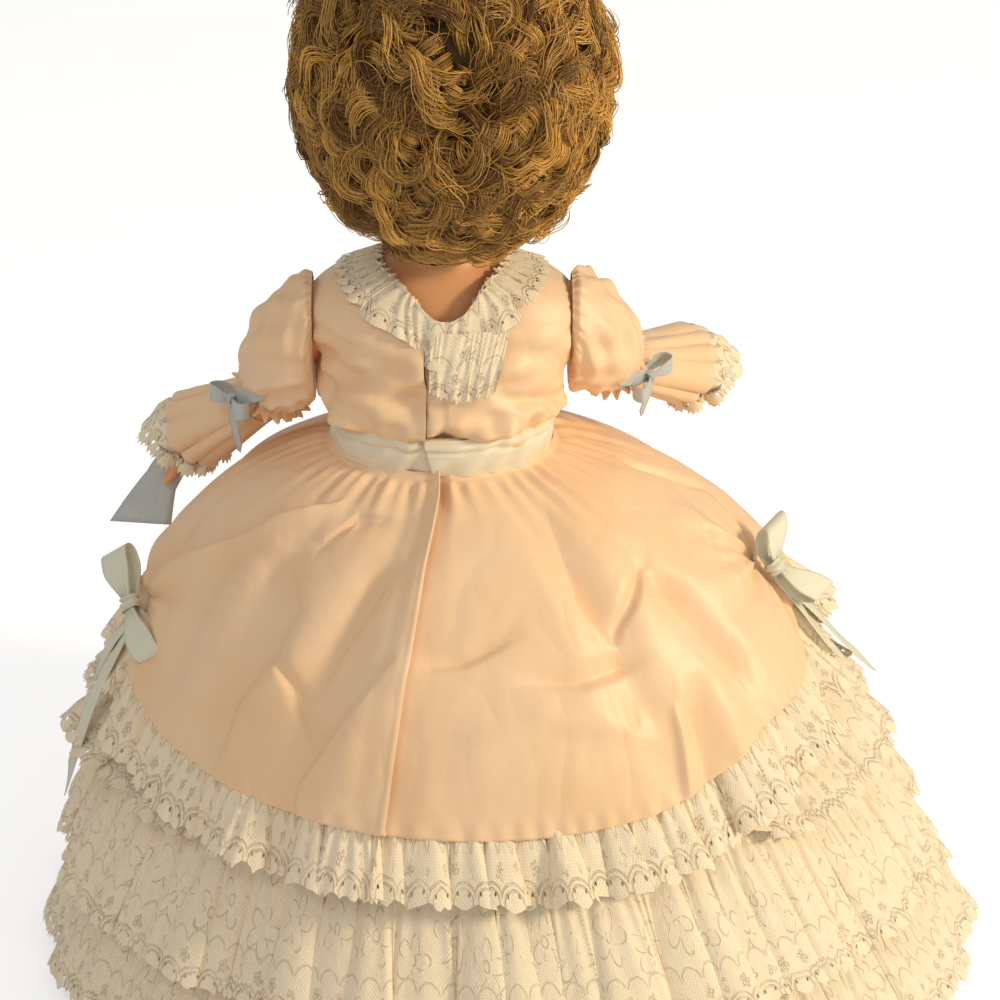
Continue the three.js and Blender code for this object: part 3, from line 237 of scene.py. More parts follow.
def show_grid(name, points, material, node, closed=False):
    """A grid of points as a piece that rides on the torso and takes a node's place."""
    return show(grid_mesh(name, points, closed=closed), material, stands_for=[node])


def show_lace(name, node, at, columns, drop, closed, rows=18):
    return show(gathered_lace(name, at, columns, drop, closed, rows), LACE, stands_for=[node])


RIBBON_THICKNESS = 0.3


def thicken(piece):
    layer = piece.modifiers.new("thickness", "SOLIDIFY")
    layer.thickness = RIBBON_THICKNESS * MM
    layer.offset = 0
    return piece


def cut_sheet(piece):
    """Reads the area of each of the piece's faces, and does nothing more with them."""
    areas = np.empty(len(piece.data.polygons))
    piece.data.polygons.foreach_get("area", areas)


def ball_shape(centre, radii, across=32, down=20):
    """Points and faces of a ball, or of an ellipsoid where there are three radii."""
    drop = np.linspace(0.02, np.pi - 0.02, down)[None, ::-1]
    return capped(centre + on_ball(full_turn(across), drop) * radii)


def capped(grid):
    """A closed grid[column, row] with a point closing each end, as triangles."""
    columns, rows = grid.shape[:2]
    quads = grid_faces(columns, rows, True)
    k = np.arange(columns)
    after = (k + 1) % columns
    first = columns * rows + 0 * k
    low = np.stack([first, after * rows, k * rows], axis=-1)
    high = np.stack([first + 1, k * rows + rows - 1, after * rows + rows - 1], axis=-1)
    points = np.concatenate([grid.reshape(-1, 3), [grid[:, 0].mean(axis=0), grid[:, -1].mean(axis=0)]])
    return points, np.concatenate([quads[:, [0, 1, 2]], quads[:, [0, 2, 3]], low, high])


def tube_grid(line, radii, sides=24, hint=(0, 1, 0)):
    """Rings of a tube along a line of points, with a radius for each."""
    side, up = square_to(unit(np.gradient(line, axis=0)), hint)
    return line + np.asarray(radii, float)[:, None] * turned(full_turn(sides)[..., None], side, up)


def melted(name, shapes, voxel, rounds):
    """One smooth skin round overlapping closed shapes."""
    starts = np.cumsum([0] + [len(points) for points, _ in shapes])
    points = np.concatenate([points for points, _ in shapes])
    faces = np.concatenate([faces + start for (_, faces), start in zip(shapes, starts)])
    piece = linked(mesh_from(name, points, faces))
    skin = piece.modifiers.new("skin", "REMESH")
    skin.mode = "VOXEL"
    skin.voxel_size = voxel * MM
    skin.use_smooth_shade = True
    relax = piece.modifiers.new("relax", "SMOOTH")
    relax.iterations = rounds
    return baked(piece)


def baked(piece):
    """The piece's mesh with its modifiers applied. The piece itself goes."""
    name = piece.name
    depsgraph = bpy.context.evaluated_depsgraph_get()
    mesh = bpy.data.meshes.new_from_object(piece.evaluated_get(depsgraph))
    bpy.data.objects.remove(piece)
    mesh.name = name
    return mesh


def carved(mesh, cutters):
    """The mesh with closed shapes cut out of it."""
    piece = linked(mesh)
    tools = [linked(mesh_from("cutter", points, faces)) for points, faces in cutters]
    for tool in tools:
        cut = piece.modifiers.new("cut", "BOOLEAN")
        cut.operation = "DIFFERENCE"
        cut.object = tool
    result = baked(piece)
    for tool in tools:
        bpy.data.objects.remove(tool)
    shade_smooth(result)
    return result


# Materials


def color(red, green, blue):
    """A colour written as a picture shows it, from 0 to 255, as the renderer needs it."""
    shares = (c / 255 for c in (red, green, blue))
    linear = [c / 12.92 if c <= 0.04045 else ((c + 0.055) / 1.055) ** 2.4 for c in shares]
    return (*linear, 1)


def add_node(tree, kind, inputs=(), **settings):
    """A new shader node. Each input, by its name or number, gets a value or another node's output."""
    node = tree.nodes.new(kind)
    for name, value in settings.items():
        setattr(node, name, value)
    for name, value in dict(inputs).items():
        feed(tree, node.inputs[name], value)
    return node


def feed(tree, socket, value):
    if isinstance(value, Field):
        value = value.socket
    if isinstance(value, bpy.types.NodeSocket):
        tree.links.new(value, socket)
    else:
        socket.default_value = value


def method(operation):
    """A method of Field that builds one kind of arithmetic node."""
    return lambda self, *others: self.calc(operation, *others)


class Field:
    """A number that varies over a surface. Ordinary sums and products build its shader nodes."""

    def __init__(self, tree, socket):
        self.tree = tree
        self.socket = socket

    def calc(self, operation, *others):
        inputs = enumerate((self, *others))
        node = add_node(self.tree, "ShaderNodeMath", inputs, operation=operation)
        return Field(self.tree, node.outputs[0])

    __add__ = __radd__ = method("ADD")
    __sub__ = method("SUBTRACT")
    __mul__ = method("MULTIPLY")
    __truediv__ = method("DIVIDE")
    sin = method("SINE")
    cos = method("COSINE")
    size = method("ABSOLUTE")
    most = method("MAXIMUM")
    power = method("POWER")

    def __rsub__(self, other):
        return self * -1 + other

    def within(self, period):
        """Where this lies in its own stretch of the period, from minus half of it to half of it."""
        return (self / period).calc("FRACT") * period - period / 2

    def rise(self, low, high):
        """Nothing up to low and one from high on, smoothly."""
        inputs = {0: self, 1: low, 2: high}
        node = add_node(self.tree, "ShaderNodeMapRange", inputs, interpolation_type="SMOOTHSTEP")
        return Field(self.tree, node.outputs[0])

    def line(self, at, width):
        """One along a line where this has the value, nothing a width away."""
        return 1 - (self - at).size().rise(width * 0.4, width)


def distance(x, y):
    return (x * x + y * y).power(0.5)


class Finish:
    """A material for one of the record's slots."""

    def __init__(self, name, slot):
        self.material = bpy.data.materials.new(name)
        self.material["slot"] = slot
        self.material.use_nodes = True
        self.tree = self.material.node_tree
        self.shader = self.tree.nodes["Principled BSDF"]

    def set(self, **values):
        for name, value in values.items():
            feed(self.tree, self.shader.inputs[name.replace("_", " ")], value)

    def coordinates(self, kind):
        source = add_node(self.tree, "ShaderNodeTexCoord").outputs[kind]
        split = add_node(self.tree, "ShaderNodeSeparateXYZ", {0: source})
        return [Field(self.tree, part) for part in split.outputs]

    def strip(self):
        """Millimetres along a strip and in from its free edge."""
        return self.coordinates("UV")[:2]

    def place(self):
        """Millimetres across, back and up about the doll's own axis."""
        x, y, z = self.coordinates("Object")
        return x / MM - BODY_X, y / MM, z / MM

    def noise(self, x, y, z=0.0, detail=3.0):
        """Clouds between nothing and one, about one unit across."""
        vector = add_node(self.tree, "ShaderNodeCombineXYZ", {0: x, 1: y, 2: z}).outputs[0]
        inputs = {"Vector": vector, "Scale": 1, "Detail": detail}
        return Field(self.tree, add_node(self.tree, "ShaderNodeTexNoise", inputs).outputs[0])

    def mix(self, share, first, second):
        inputs = {0: share, 6: first, 7: second}
        return add_node(self.tree, "ShaderNodeMix", inputs, data_type="RGBA").outputs[2]

    def relief(self, height, depth):
        """Raises the surface by a height field, in millimetres."""
        raised = add_node(self.tree, "ShaderNodeBump", {"Distance": depth * MM, "Height": height})
        feed(self.tree, self.shader.inputs["Normal"], raised.outputs[0])


def weave(u, v, thread):
    """Threads over and under each other."""
    pace = math.pi / thread
    return (u * pace).sin() * (v * pace).cos()


def taffeta():
    finish = Finish("taffeta", "taffeta")
    u, v = finish.strip()
    x, y, z = finish.place()
    cloud = finish.noise(x / 28, y / 28, z / 28)
    slub = finish.noise(u / 9, v / 0.7, detail=2.0)
    deep = (cloud * 1.3 + slub * 0.25 - 0.45).rise(0, 1)
    finish.set(Base_Color=finish.mix(deep, color(250, 212, 170), color(246, 200, 148)))
    finish.set(Roughness=0.34 + slub * 0.16, Specular_IOR_Level=0.45)
    finish.set(Sheen_Weight=0.25, Sheen_Roughness=0.35, Sheen_Tint=color(255, 236, 214))
    rumple = finish.noise(x / 16, y / 16, z / 16, detail=3.0)
    folded = (finish.noise(x / 21, y / 21, z / 62, detail=1.5) - 0.5).size()
    pressed = (finish.noise(x / 14 + 7, y / 14, z / 34, detail=1.0) - 0.5).size()
    creases = folded * 22 + pressed * 8
    finish.relief(weave(u, v, 0.32) * 0.12 + slub * 0.4 + rumple * 2 + creases, 0.1)
    return finish.material


def petals(x, y, radius):
    """One along the outline of a flower of five petals."""
    turn = y.calc("ARCTAN2", x)
    edge = (turn * 2.5).cos().size() * 0.62 + 0.38
    outline = (distance(x, y) - edge * radius).line(0, 0.36)
    heart = distance(x, y).line(radius * 0.2, THREAD)
    return outline.most(heart)


def lace():
    """Cotton lace: a scalloped edge under rows of flowers outlined in thread, on a close net. The outlines
    are drawn darker, partly as the thread and partly as painted shade beside the raised threads.
    """
    finish = Finish("lace", "lace")
    u, v = finish.strip()
    stray = finish.noise(u / 11, v / 11, detail=1.0)
    down = v + stray * 2 - 1
    across = u.within(SCALLOP)
    arch = distance(across, v - 0.4)
    scallops = arch.line(SCALLOP * 0.4, THREAD).most(arch.line(SCALLOP * 0.54, THREAD))
    arches = distance(across, down - ARCHES_IN).line(SCALLOP * 0.45, THREAD)
    arches = arches * down.rise(ARCHES_IN, ARCHES_IN + 1)
    far = (u + stray * 4).within(4 * SCALLOP)
    farther = (u + stray * 4 + 2 * SCALLOP).within(4 * SCALLOP)
    between = (u + SCALLOP / 2).within(SCALLOP)
    flowers = petals(far, down - 18, 7)
    for flower in (petals(farther, down - 23, 7.5), petals(between, v - 6.6, 1.7), petals(far, down - 38, 8)):
        flowers = flowers.most(flower)
    patchy = finish.noise(u / 5 + 40, v / 5, detail=2.0).rise(0.42, 0.58)
    lines = (scallops * (0.5 + patchy * 0.5)).most(arches * 0.6).most(flowers * patchy * 0.8)
    threads = weave(u, v, 0.6)
    mottle = finish.noise(u / 4, v / 4)
    # The outlines' darker colour is partly painted shade, where shadow falls beside the raised threads; the
    # mottle is tone that varies at random.
    shade = (lines * 0.4 + mottle * 0.6 - 0.2).rise(0, 1)
    finish.set(Base_Color=finish.mix(shade, color(250, 232, 200), color(204, 168, 122)))
    finish.set(Roughness=0.8, Specular_IOR_Level=0.25)
    finish.set(Sheen_Weight=0.15, Sheen_Roughness=0.5)
    eyelets = 1 - distance(u.within(SCALLOP / 2), v - 2.4).rise(0.36, 0.5)
    open_net = (threads - 0.5).rise(0.1, 0.4) * (1 - lines) * 0.22
    finish.set(Alpha=1 - eyelets.most(open_net))
    finish.relief(lines + threads * 0.12 + mottle, 0.4)
    return finish.material


def satin(name, slot, light, deep):
    finish = Finish(name, slot)
    u, v = finish.strip()
    streak = finish.noise(u / 22, v / 0.35, detail=2.0)
    cloud = finish.noise(u / 8, v / 8)
    finish.set(Base_Color=finish.mix((streak * 0.6 + cloud * 0.6 - 0.1).rise(0, 1), deep, light))
    finish.set(Roughness=0.22 + streak * 0.16, Specular_IOR_Level=0.6)
    finish.set(Anisotropic=0.4, Sheen_Weight=0.1)
    finish.relief(weave(u, v, 0.22) * 0.3 + streak, 0.08)
    return finish.material


def cotton():
    finish = Finish("cotton", "cotton")
    u, v = finish.strip()
    cloud = finish.noise(u / 12, v / 12)
    finish.set(Base_Color=finish.mix(cloud, color(240, 236, 226), color(226, 218, 204)))
    finish.set(Roughness=0.9, Sheen_Weight=0.2)
    finish.relief(weave(u, v, 0.4) + cloud, 0.12)
    return finish.material


def net():
    finish = Finish("net", "net")
    u, v = finish.strip()
    holes = weave(u, v, 1.3).size().rise(0.35, 0.55)
    finish.set(Base_Color=color(238, 230, 214), Roughness=0.85, Alpha=1 - holes * 0.9)
    return finish.material


def vinyl():
    """Soft skin-coloured vinyl with a blushed, painted face."""
    finish = Finish("vinyl", "vinyl")
    x, y, z = finish.place()
    cloud = finish.noise(x / 14, y / 14, z / 14)
    skin = finish.mix(cloud, color(246, 182, 126), color(240, 168, 110))
    front = 1 - y.rise(-18, -12)
    cheek = (1 - distance(x.size() - CHEEK[0], z - CHEEK[1]).rise(2, 15)) * front
    skin = finish.mix(cheek * 0.45, skin, color(226, 118, 92))
    lip_top = (x.size() / 6.2) * (x.size() / 6.2) * 2.2
    mouth = distance(x / 5.8, (z - MOUTH_Z + lip_top * 0.25) / 2.3)
    skin = finish.mix((1 - mouth.rise(0.8, 1.0)) * front, skin, color(196, 84, 76))
    along = x.size() - BROW[0]
    brow = (z - BROW[1] + along * along / 26).line(0, 0.9)
    reach = (along - 0.5).size()
    skin = finish.mix(brow * (1 - reach.rise(5, 9)) * front * 0.8, skin, color(120, 78, 44))
    finish.set(Base_Color=skin, Roughness=0.42 + cloud * 0.12, Specular_IOR_Level=0.4)
    finish.set(Subsurface_Weight=0.12, Subsurface_Radius=(1.0, 0.45, 0.25), Subsurface_Scale=0.002)
    pores = finish.noise(x / 0.8, y / 0.8, z / 0.8, detail=2.0)
    finish.relief(pores, 0.03)
    return finish.material


def hair_fibre():
    """Golden brown fibre: each strand has its own tone. Painted shade darkens the roots, deep in the hair,
    and a painted highlight lightens the tips.
    """
    finish = Finish("hair fibre", "hair")
    tone, share = finish.strip()
    base = finish.mix(tone.rise(0, 1), color(118, 74, 22), color(238, 184, 92))
    # Painted shade at the roots, under the curls
    base = finish.mix((1 - share.rise(0, 0.3)) * 0.5, base, color(64, 34, 10))
    # A painted highlight towards the tips
    base = finish.mix(share.rise(0.5, 1) * 0.25, base, color(244, 200, 120))
    finish.set(Base_Color=base, Roughness=0.36, Specular_IOR_Level=0.5)
    return finish.material


def undercoat_painted_shade():
    finish = Finish("rooted scalp", "hair")
    x, y, z = finish.place()
    streak = finish.noise(x / 3, y / 3, z / 9, detail=4.0)
    # The undercoat's dark browns are painted shade: the hair that lies in shadow under the curls
    finish.set(Base_Color=finish.mix(streak, color(48, 28, 10), color(98, 64, 26)), Roughness=0.7)
    finish.relief(streak, 0.8)
    return finish.material


def eye_gloss():
    """A painted eye: a grey-blue iris under a clear gloss with a painted highlight on it, and a lid in skin
    colour above it.
    """
    finish = Finish("eye", "eye")
    x, y, z = finish.place()
    across, up = x.size() - EYE[0], z - EYE[2]
    out = distance(across, up)
    ray = finish.noise(across.calc("ARCTAN2", up) * 5, out / 2, detail=2.0)
    iris = finish.mix(ray, color(62, 98, 128), color(132, 166, 186))
    iris = finish.mix(out.rise(IRIS_R - 0.8, IRIS_R), iris, color(36, 52, 66))
    shade = finish.mix(out.rise(IRIS_R, IRIS_R + 0.3), iris, color(238, 236, 230))
    shade = finish.mix(1 - out.rise(PUPIL_R, PUPIL_R + 0.3), shade, color(10, 8, 8))
    # A painted highlight: a white glint on the iris
    gleam = 1 - distance(across + 1.2, up - 1.4).rise(0.5, 0.8)
    shade = finish.mix(gleam, shade, color(250, 250, 250))
    back = (y - EYE[1]).rise(-1, 0)
    lid = (up + (y - EYE[1]) * 0.42).rise(0, 0.3)
    skin = finish.mix(lid.most(back), shade, color(234, 168, 122))
    finish.set(Base_Color=skin, Roughness=0.12, Coat_Weight=0.6, Coat_Roughness=0.05)
    return finish.material


def plain(name, slot, shade, roughness, metallic=0.0):
    """A hard finish whose tone and gloss vary a little with handling."""
    finish = Finish(name, slot)
    x, y, z = finish.place()
    cloud = finish.noise(x / 5, y / 5, z / 5)
    darker = tuple(0.8 * c for c in shade[:3]) + (1,)
    finish.set(Base_Color=finish.mix(cloud, shade, darker))
    finish.set(Roughness=roughness + cloud * 0.1, Metallic=metallic)
    finish.relief(finish.noise(x, y, z), 0.04)
    return finish.material


TAFFETA = taffeta()
LACE = lace()
SASH_SATIN = satin("sash satin", "sash_satin", color(250, 238, 212), color(234, 218, 184))
BOW_SATIN = satin("bow satin", "bow_satin", color(240, 236, 212), color(226, 220, 190))
BLUE_SATIN = satin("silver blue satin", "blue_satin", color(212, 212, 206), color(186, 190, 188))
COTTON = cotton()
NET = net()
VINYL = vinyl()
HAIR_FIBRE = hair_fibre()
UNDERCOAT_PAINTED_SHADE = undercoat_painted_shade()
EYE_GLOSS = eye_gloss()
LASH = plain("lash", "lash", color(52, 32, 20), 0.6)
STEEL = plain("steel", "steel", color(160, 160, 162), 0.35, 1.0)
SNAP_METAL = plain("snap metal", "snap_metal", color(214, 208, 196), 0.28, 1.0)
SHOE_VINYL = plain("shoe vinyl", "shoe_vinyl", color(240, 236, 228), 0.3)

# The solids that show as they are, by how their names begin. The first that fits is taken.
SOLID_FINISHES = {
    "torso": VINYL,
    "eye_rocker": STEEL,
    "eye_weight": STEEL,
    "shoe_button": SNAP_METAL,
    "press_stud": SNAP_METAL,
    "shoe": SHOE_VINYL,
}


def finish_solids():
    for node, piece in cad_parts.items():
        finishes = [material for name, material in SOLID_FINISHES.items() if node.startswith(name)]
        if finishes:
            piece.data.materials.clear()
            piece.data.materials.append(finishes[0])


# Skirts

SKIRT_TOP = np.array([35, 181])  # the half width and the height at which the skirts begin
SKIRT_TOP_B = 27  # their half depth there
BELL = (SKIRT_TOP, (80, 170), (108, 104), (148.5, -2))  # the curve that half width and height follow
DEPTH_RATIO = 0.78  # how much the half depth grows for each millimetre of half width
LEAN = 22.5  # how far the bell's foot stands to the doll's right of its top
BELL_SHARES = np.linspace(0, 1, 2001)
BELL_LINE = bezier(*BELL, BELL_SHARES)
BELL_WAY = unit(np.gradient(BELL_LINE, axis=0))
BELL_LENGTH = arc_lengths(BELL_LINE)[-1]
LEFT_BOW = {"angle": 6, "z": 122}
RIGHT_BOW = {"angle": 174, "z": 136}
BACK_EDGE_Z = 91
FRONT_EDGE_Z = 110
TRIM_WIDTH = 0.075


def on_bell(table, share):
    return tuple(np.interp(share, BELL_SHARES, table[:, k]) for k in range(2))


def skirt(angle, share, out):
    """A point of the skirt at an angle, a share of the way down and a distance out."""
    r0, z0 = on_bell(BELL_LINE, share)
    dr, dz = on_bell(BELL_WAY, share)
    r = r0 - out * dz
    shift = -LEAN * (np.maximum(0, SKIRT_TOP[1] - z0) / SKIRT_TOP[1]) ** 0.8
    depth = SKIRT_TOP_B + (r - SKIRT_TOP[0]) * DEPTH_RATIO
    return point(shift + r * np.cos(angle), depth * np.sin(angle), z0 + out * dr)


def share_at(z):
    return np.interp(-np.asarray(z, float), -BELL_LINE[:, 1], BELL_SHARES)


def edge_share(angle):
    """How far down the looped-up overskirt hangs."""
    left, right = LEFT_BOW["angle"], RIGHT_BOW["angle"]
    place = left + np.mod(np.degrees(angle) - left, 360)
    back = place <= right
    from_left = np.where(back, (place - left) / (right - left), (left + 360 - place) / (left + 360 - right))
    high = lerp(LEFT_BOW["z"], RIGHT_BOW["z"], from_left)
    hang = np.abs(np.sin(np.pi * from_left)) ** np.where(back, 0.45, 0.6)
    caught = 0.03 * bump(place - 142, 15) + 0.01 * bump(place - 100, 60) * back
    return share_at(lerp(high, np.where(back, BACK_EDGE_Z, FRONT_EDGE_Z), hang)) - caught


# The lap of the overskirt's back opening, as angles down its left panel's edge
LAP_SHARES = (0, 0.064, 0.247, 0.474, 0.66, 0.8)
LAP_ANGLES = (89, 88.3, 83.4, 79.2, 75.9, 74.4)


def lap_angle(share):
    return np.interp(share, LAP_SHARES, LAP_ANGLES)


class Crease:
    """A fold in the overskirt along a path of angles and shares. It may be sharper on one side."""

    def __init__(self, path, height, width, other_width=None, across=False):
        path = np.array(path, float)
        self.path = path[np.argsort(path[:, 0 if across else 1])]
        self.height = height
        self.widths = (width, other_width or width)
        self.across = across

    def __call__(self, angle, share, reach):
        """Its height at angles in degrees and shares, where the skirt's radius is reach."""
        angles, shares = self.path.T
        if self.across:
            off = (share - np.interp(angle, angles, shares)) * BELL_LENGTH
            past = np.radians(np.maximum(angles[0] - angle, angle - angles[-1])) * reach
        else:
            off = np.radians(angle - np.interp(share, shares, angles)) * reach
            past = np.maximum(shares[0] - share, share - shares[-1]) * BELL_LENGTH
        width = np.where(off < 0, *self.widths)
        return self.height * bump(off, width) * (1 - smooth(past, -9, 6))


# The main folds down the back, as in the part: the angles at the waist and at the bows' height, the
# height, and the width in degrees.
BACK_FOLDS = [
    (52, 42, -2.2, 5),
    (80, 63, -2.5, 4),
    (88, 72, 2.6, 6),
    (112, 121, -3, 4.5),
    (134, 141, -2.5, 4),
]
CREASES = [
    Crease([(46.9, 0.287), (52.7, 0.356), (51.2, 0.441), (45.3, 0.532), (44.4, 0.612)], -4.0, 8, 3.5),
    Crease([(74.2, 0.252), (69, 0.345), (65, 0.415), (61.6, 0.495)], -3.6, 6, 2.2),
    Crease([(53.2, 0.445), (58.5, 0.487), (63.8, 0.555)], -2.8, 1.6, 3.5),
    Crease([(77.9, 0.416), (69.1, 0.519), (62.5, 0.61), (61.9, 0.66)], 2.6, 1.6, 10),
    Crease([(30, 0.2), (28.6, 0.423), (31, 0.55)], -2.4, 6),
    Crease([(112.6, 0.02), (114.4, 0.139), (116.5, 0.251), (118.3, 0.357), (120.5, 0.405)], -4.4, 1.2, 9),
    Crease([(120.5, 0.405), (123.4, 0.381), (136.7, 0.303)], -3.0, 4, 1.5, across=True),
    Crease([(137.3, 0.337), (138.5, 0.402), (140.3, 0.467), (141.9, 0.523)], -3.4, 1.2, 8),
    Crease([(166.6, 0.302), (162.1, 0.354), (160.8, 0.406)], -3.0, 2, 5),
    Crease([(99.8, 0.447), (110, 0.457), (123.5, 0.442)], -2.8, 5, 2, across=True),
    Crease([(81.9, 0.424), (89.8, 0.413), (99.6, 0.376)], -2.6, 5, 2, across=True),
    Crease([(130.5, 0.5), (128.5, 0.53), (127, 0.66)], -4.5, 3, 7),
    Crease([(125.1, 0.522), (122.6, 0.64)], 2.4, 1.3),
    Crease([(117.7, 0.506), (117.2, 0.543)], -2.0, 2),
    Crease([(-5.3, 0.539), (22.4, 0.34), (37.5, 0.206), (52.3, 0.124)], 3.2, 3, 9, across=True),
    Crease([(53.6, 0.227), (60.1, 0.146), (70.3, 0.134)], -2.6, 2, 6, across=True),
    Crease([(176.5, 0.149), (190, 0.327)], -2.2, 2.5),
    Crease([(90, 0.53), (102, 0.5), (112, 0.52), (122, 0.56)], 1.6, 7, 4, across=True),
]
OVERSKIRT_FULL = share_at(FRONT_EDGE_Z)
SKIRT_ROLL = Waves(11, 0.9, 0.5, loop=2 * np.pi)


def bow_folds(angle, share, bow, reach):
    """Folds that fan down and sideways from where a bow catches the cloth up."""
    side = np.radians(angle - bow["angle"]) * reach
    down = (share - share_at(bow["z"])) * BELL_LENGTH
    far = np.hypot(side, down)
    turn = np.arctan2(side, down + 4)
    folds = np.cos(7 * turn + 0.6) * 0.6 + np.cos(12 * turn + 2) * 0.4
    return -2.4 * bump(far, 9) + 1.5 * folds * smooth(far, 2, 10) * (1 - smooth(far, 22, 52))


def overskirt_out(angle, share):
    """How far the overskirt's face stands off the underskirt, for angles in radians."""
    within = np.mod(np.degrees(angle) + 90, 360) - 90
    reach = np.linalg.norm(skirt(angle, share, 10)[..., :2], axis=-1)
    lift = lerp(1.4, 10.9, smooth(share, 0, OVERSKIRT_FULL))
    fullness = smooth(share, 0.02, 0.45)
    front = smooth(-np.sin(angle), -0.1, 0.5)
    rolls = 3.2 * front * (0.3 * (1 + np.cos(9 * angle + 1.1)) + 0.2 * (1 + np.cos(14 * angle + 2.3)))
    rolls = rolls + 0.45 * SKIRT_ROLL(angle, share)
    for waist, edge, height, width in BACK_FOLDS:
        rolls = rolls + height * bump(within - lerp(waist, edge, share / OVERSKIRT_FULL), width)
    gathers = np.cos(34 * angle + 5 * np.sin(3 * angle)) + 0.6 * np.cos(53 * angle + 2)
    uneven = 0.6 + 0.4 * np.cos(5 * angle + 1)
    pleats = 0.8 * gathers * np.exp(-((share / (0.05 + 0.08 * uneven)) ** 1.5)) * smooth(share, 0, 0.035)
    total = lift + fullness * rolls + pleats
    for crease in CREASES:
        total = total + smooth(share, -0.03, 0.15) * crease(within, share, reach)
    total = total - 5.5 * smooth(share, 0.56, 0.66) * bump(within - 99, 16)
    for bow in (LEFT_BOW, RIGHT_BOW, {**LEFT_BOW, "angle": 366}, {**RIGHT_BOW, "angle": -186}):
        total = total + bow_folds(within, share, bow, reach)
    return np.maximum(total, 0.9 + pleats)


OVERSKIRT_GIRTH = 650
LAP_UNDER = 6.5  # how far the right panel goes on under the left one
LAP_R = 75  # the skirt's rough half width along the lap


def overskirt():
    """The overskirt: an open sheet whose left panel lies over its right one down the back."""
    u, v = sheet_shares(900, 175)
    share = lerp(0.005, edge_share(np.radians(80 + 360 * u)), v)
    under = LAP_UNDER / LAP_R * (1 - u) ** 40
    angle = np.radians(lap_angle(share)) - under + 2 * np.pi * u
    share = lerp(0.005, edge_share(angle), v)
    from_over = (1 - u) * OVERSKIRT_GIRTH
    from_under = u * OVERSKIRT_GIRTH
    out = overskirt_out(angle, share)
    out = out + 2.3 * (1 - smooth(from_over, 1, 10)) - 1.5 * (1 - smooth(from_under, 5, 14))
    out = out + 0.6 * bump(from_over - 0.8, 0.8)
    out = out + 0.35 * np.cos(95 * angle + 3 * np.sin(7 * angle)) * smooth(v, 0.955, 1)
    sheet = skirt(angle, share, out)
    points = np.concatenate([heading(sheet), sheet, rolled_hem(angle, share, out)], axis=1)
    return show_grid("overskirt_cloth", points, TAFFETA, "overskirt")


def heading(sheet):
    """The rows by which a skirt's top edge turns in under the sash."""
    tuck = np.linspace(1, 0, 4)[:-1, None]
    return sheet[:, :1] * (1 - tuck * [0.05, 0.05, -0.012])


def rolled_hem(angle, share, out):
    """The rows by which a skirt's lower edge rolls under."""
    angle, share, out = angle[:, -1:], share[:, -1:], out[:, -1:]
    turn = np.linspace(0, 1.5 * np.pi, 10)[1:]
    radius = 1.0 + 0.14 * np.cos(170 * angle + 2 * np.sin(9 * angle))
    return skirt(angle, share + radius * np.sin(turn) / BELL_LENGTH, out - radius * (1 - np.cos(turn)))


# Gathered lace


def scalloped(u):
    """How far a lace edge reaches past its line."""
    arch = np.sqrt(np.clip(1 - (2 * (u / SCALLOP % 1) - 1) ** 2, 0, 1))
    return SCALLOP_DEPTH * (arch - 1) + PICOT_DEPTH * (0.5 + 0.5 * np.cos(2 * np.pi * u / PICOT)) ** 1.5


def gathered_lace(name, at, columns, drop, closed, rows=18):
    """A strip of lace. at(u, v) is its surface, and its free edge ends in scallops and picots."""
    u, v = sheet_shares(columns, rows, closed)
    v = 1 - (1 - v) ** 1.5  # rows closer together at the free edge
    edge = at(u, v)[:, -1]
    along = arc_lengths(np.concatenate([edge, edge[:1]]) if closed else edge)
    along *= round(along[-1] / SCALLOP) * SCALLOP / along[-1]
    reach = scalloped(along[:columns])[:, None] / drop
    points = at(u, v * (1 + reach * smooth(v, 0.5, 1)))
    places, depth = np.broadcast_arrays(along[:, None], drop * (1 - v))
    return grid_mesh(name, points, places, depth, closed)


def ruffles(seed, length, loop):
    """The phase of gathers along a strip, about a length apart and uneven."""
    drift = Waves(seed, 5 * length, loop=loop, count=5)
    return lambda s: 2 * np.pi * np.round(loop / length) * s / loop + 1.6 * drift(s)


SKIRT_ROUND = 0.89  # the skirt's way round, as a share of a circle's with its half width
FLOUNCE_R = 110  # the skirt's rough half width at the flounces
TAPER = 45  # how far from its ends an open tier reaches its full depth


def flounce(name, top, bottom, start, end, spring, seed):
    """A gathered tier of lace, sewn on at its top. It stands out where the overskirt leaves it free."""
    closed = end - start == 360
    high, low = share_at(top), share_at(bottom)
    girth = np.radians(end - start) * on_bell(BELL_LINE, low)[0] * SKIRT_ROUND
    phase = ruffles(seed, 12, girth)
    fine = ruffles(seed + 50, 4.3, girth)
    slack = Waves(seed + 90, 60, loop=girth)

    def at(u, v):
        angle = np.radians(lerp(start, end, u))
        s = u * girth
        tucked = 1 if closed else smooth(np.minimum(s, girth - s), 0, TAPER)
        share = lerp(high, lerp(lerp(high, low, 0.4), low, tucked), v)
        trim_end = edge_share(angle) + TRIM_WIDTH
        sprung = spring * smooth(share, trim_end, trim_end + 0.12) * (1 + 0.4 * np.cos(angle))
        swing = phase(s) + 0.5 * v
        depth = v**0.8 * (1 + 0.3 * slack(s))
        broad = 3.4 * (0.5 + 0.5 * np.cos(24 * angle))
        out = v * (2.6 + sprung + broad) + 1.9 * depth * (1 + np.cos(swing))
        out = 0.8 + out * tucked + 0.5 * np.cos(fine(s)) * (1 - 0.5 * v)
        return skirt(angle + 3.6 * depth * np.sin(swing) / FLOUNCE_R, share, out)

    drop = (low - high) * BELL_LENGTH
    return show_lace(name + "_strip", name, at, int(girth / 0.4), drop, closed)


TRIM_GIRTH = 640
TRIM_DROP = 18
TRIM_TURNS = 1.0085  # a little more than once round, because its ends lap
TRIM_R = 100  # the skirt's rough half width at the trim


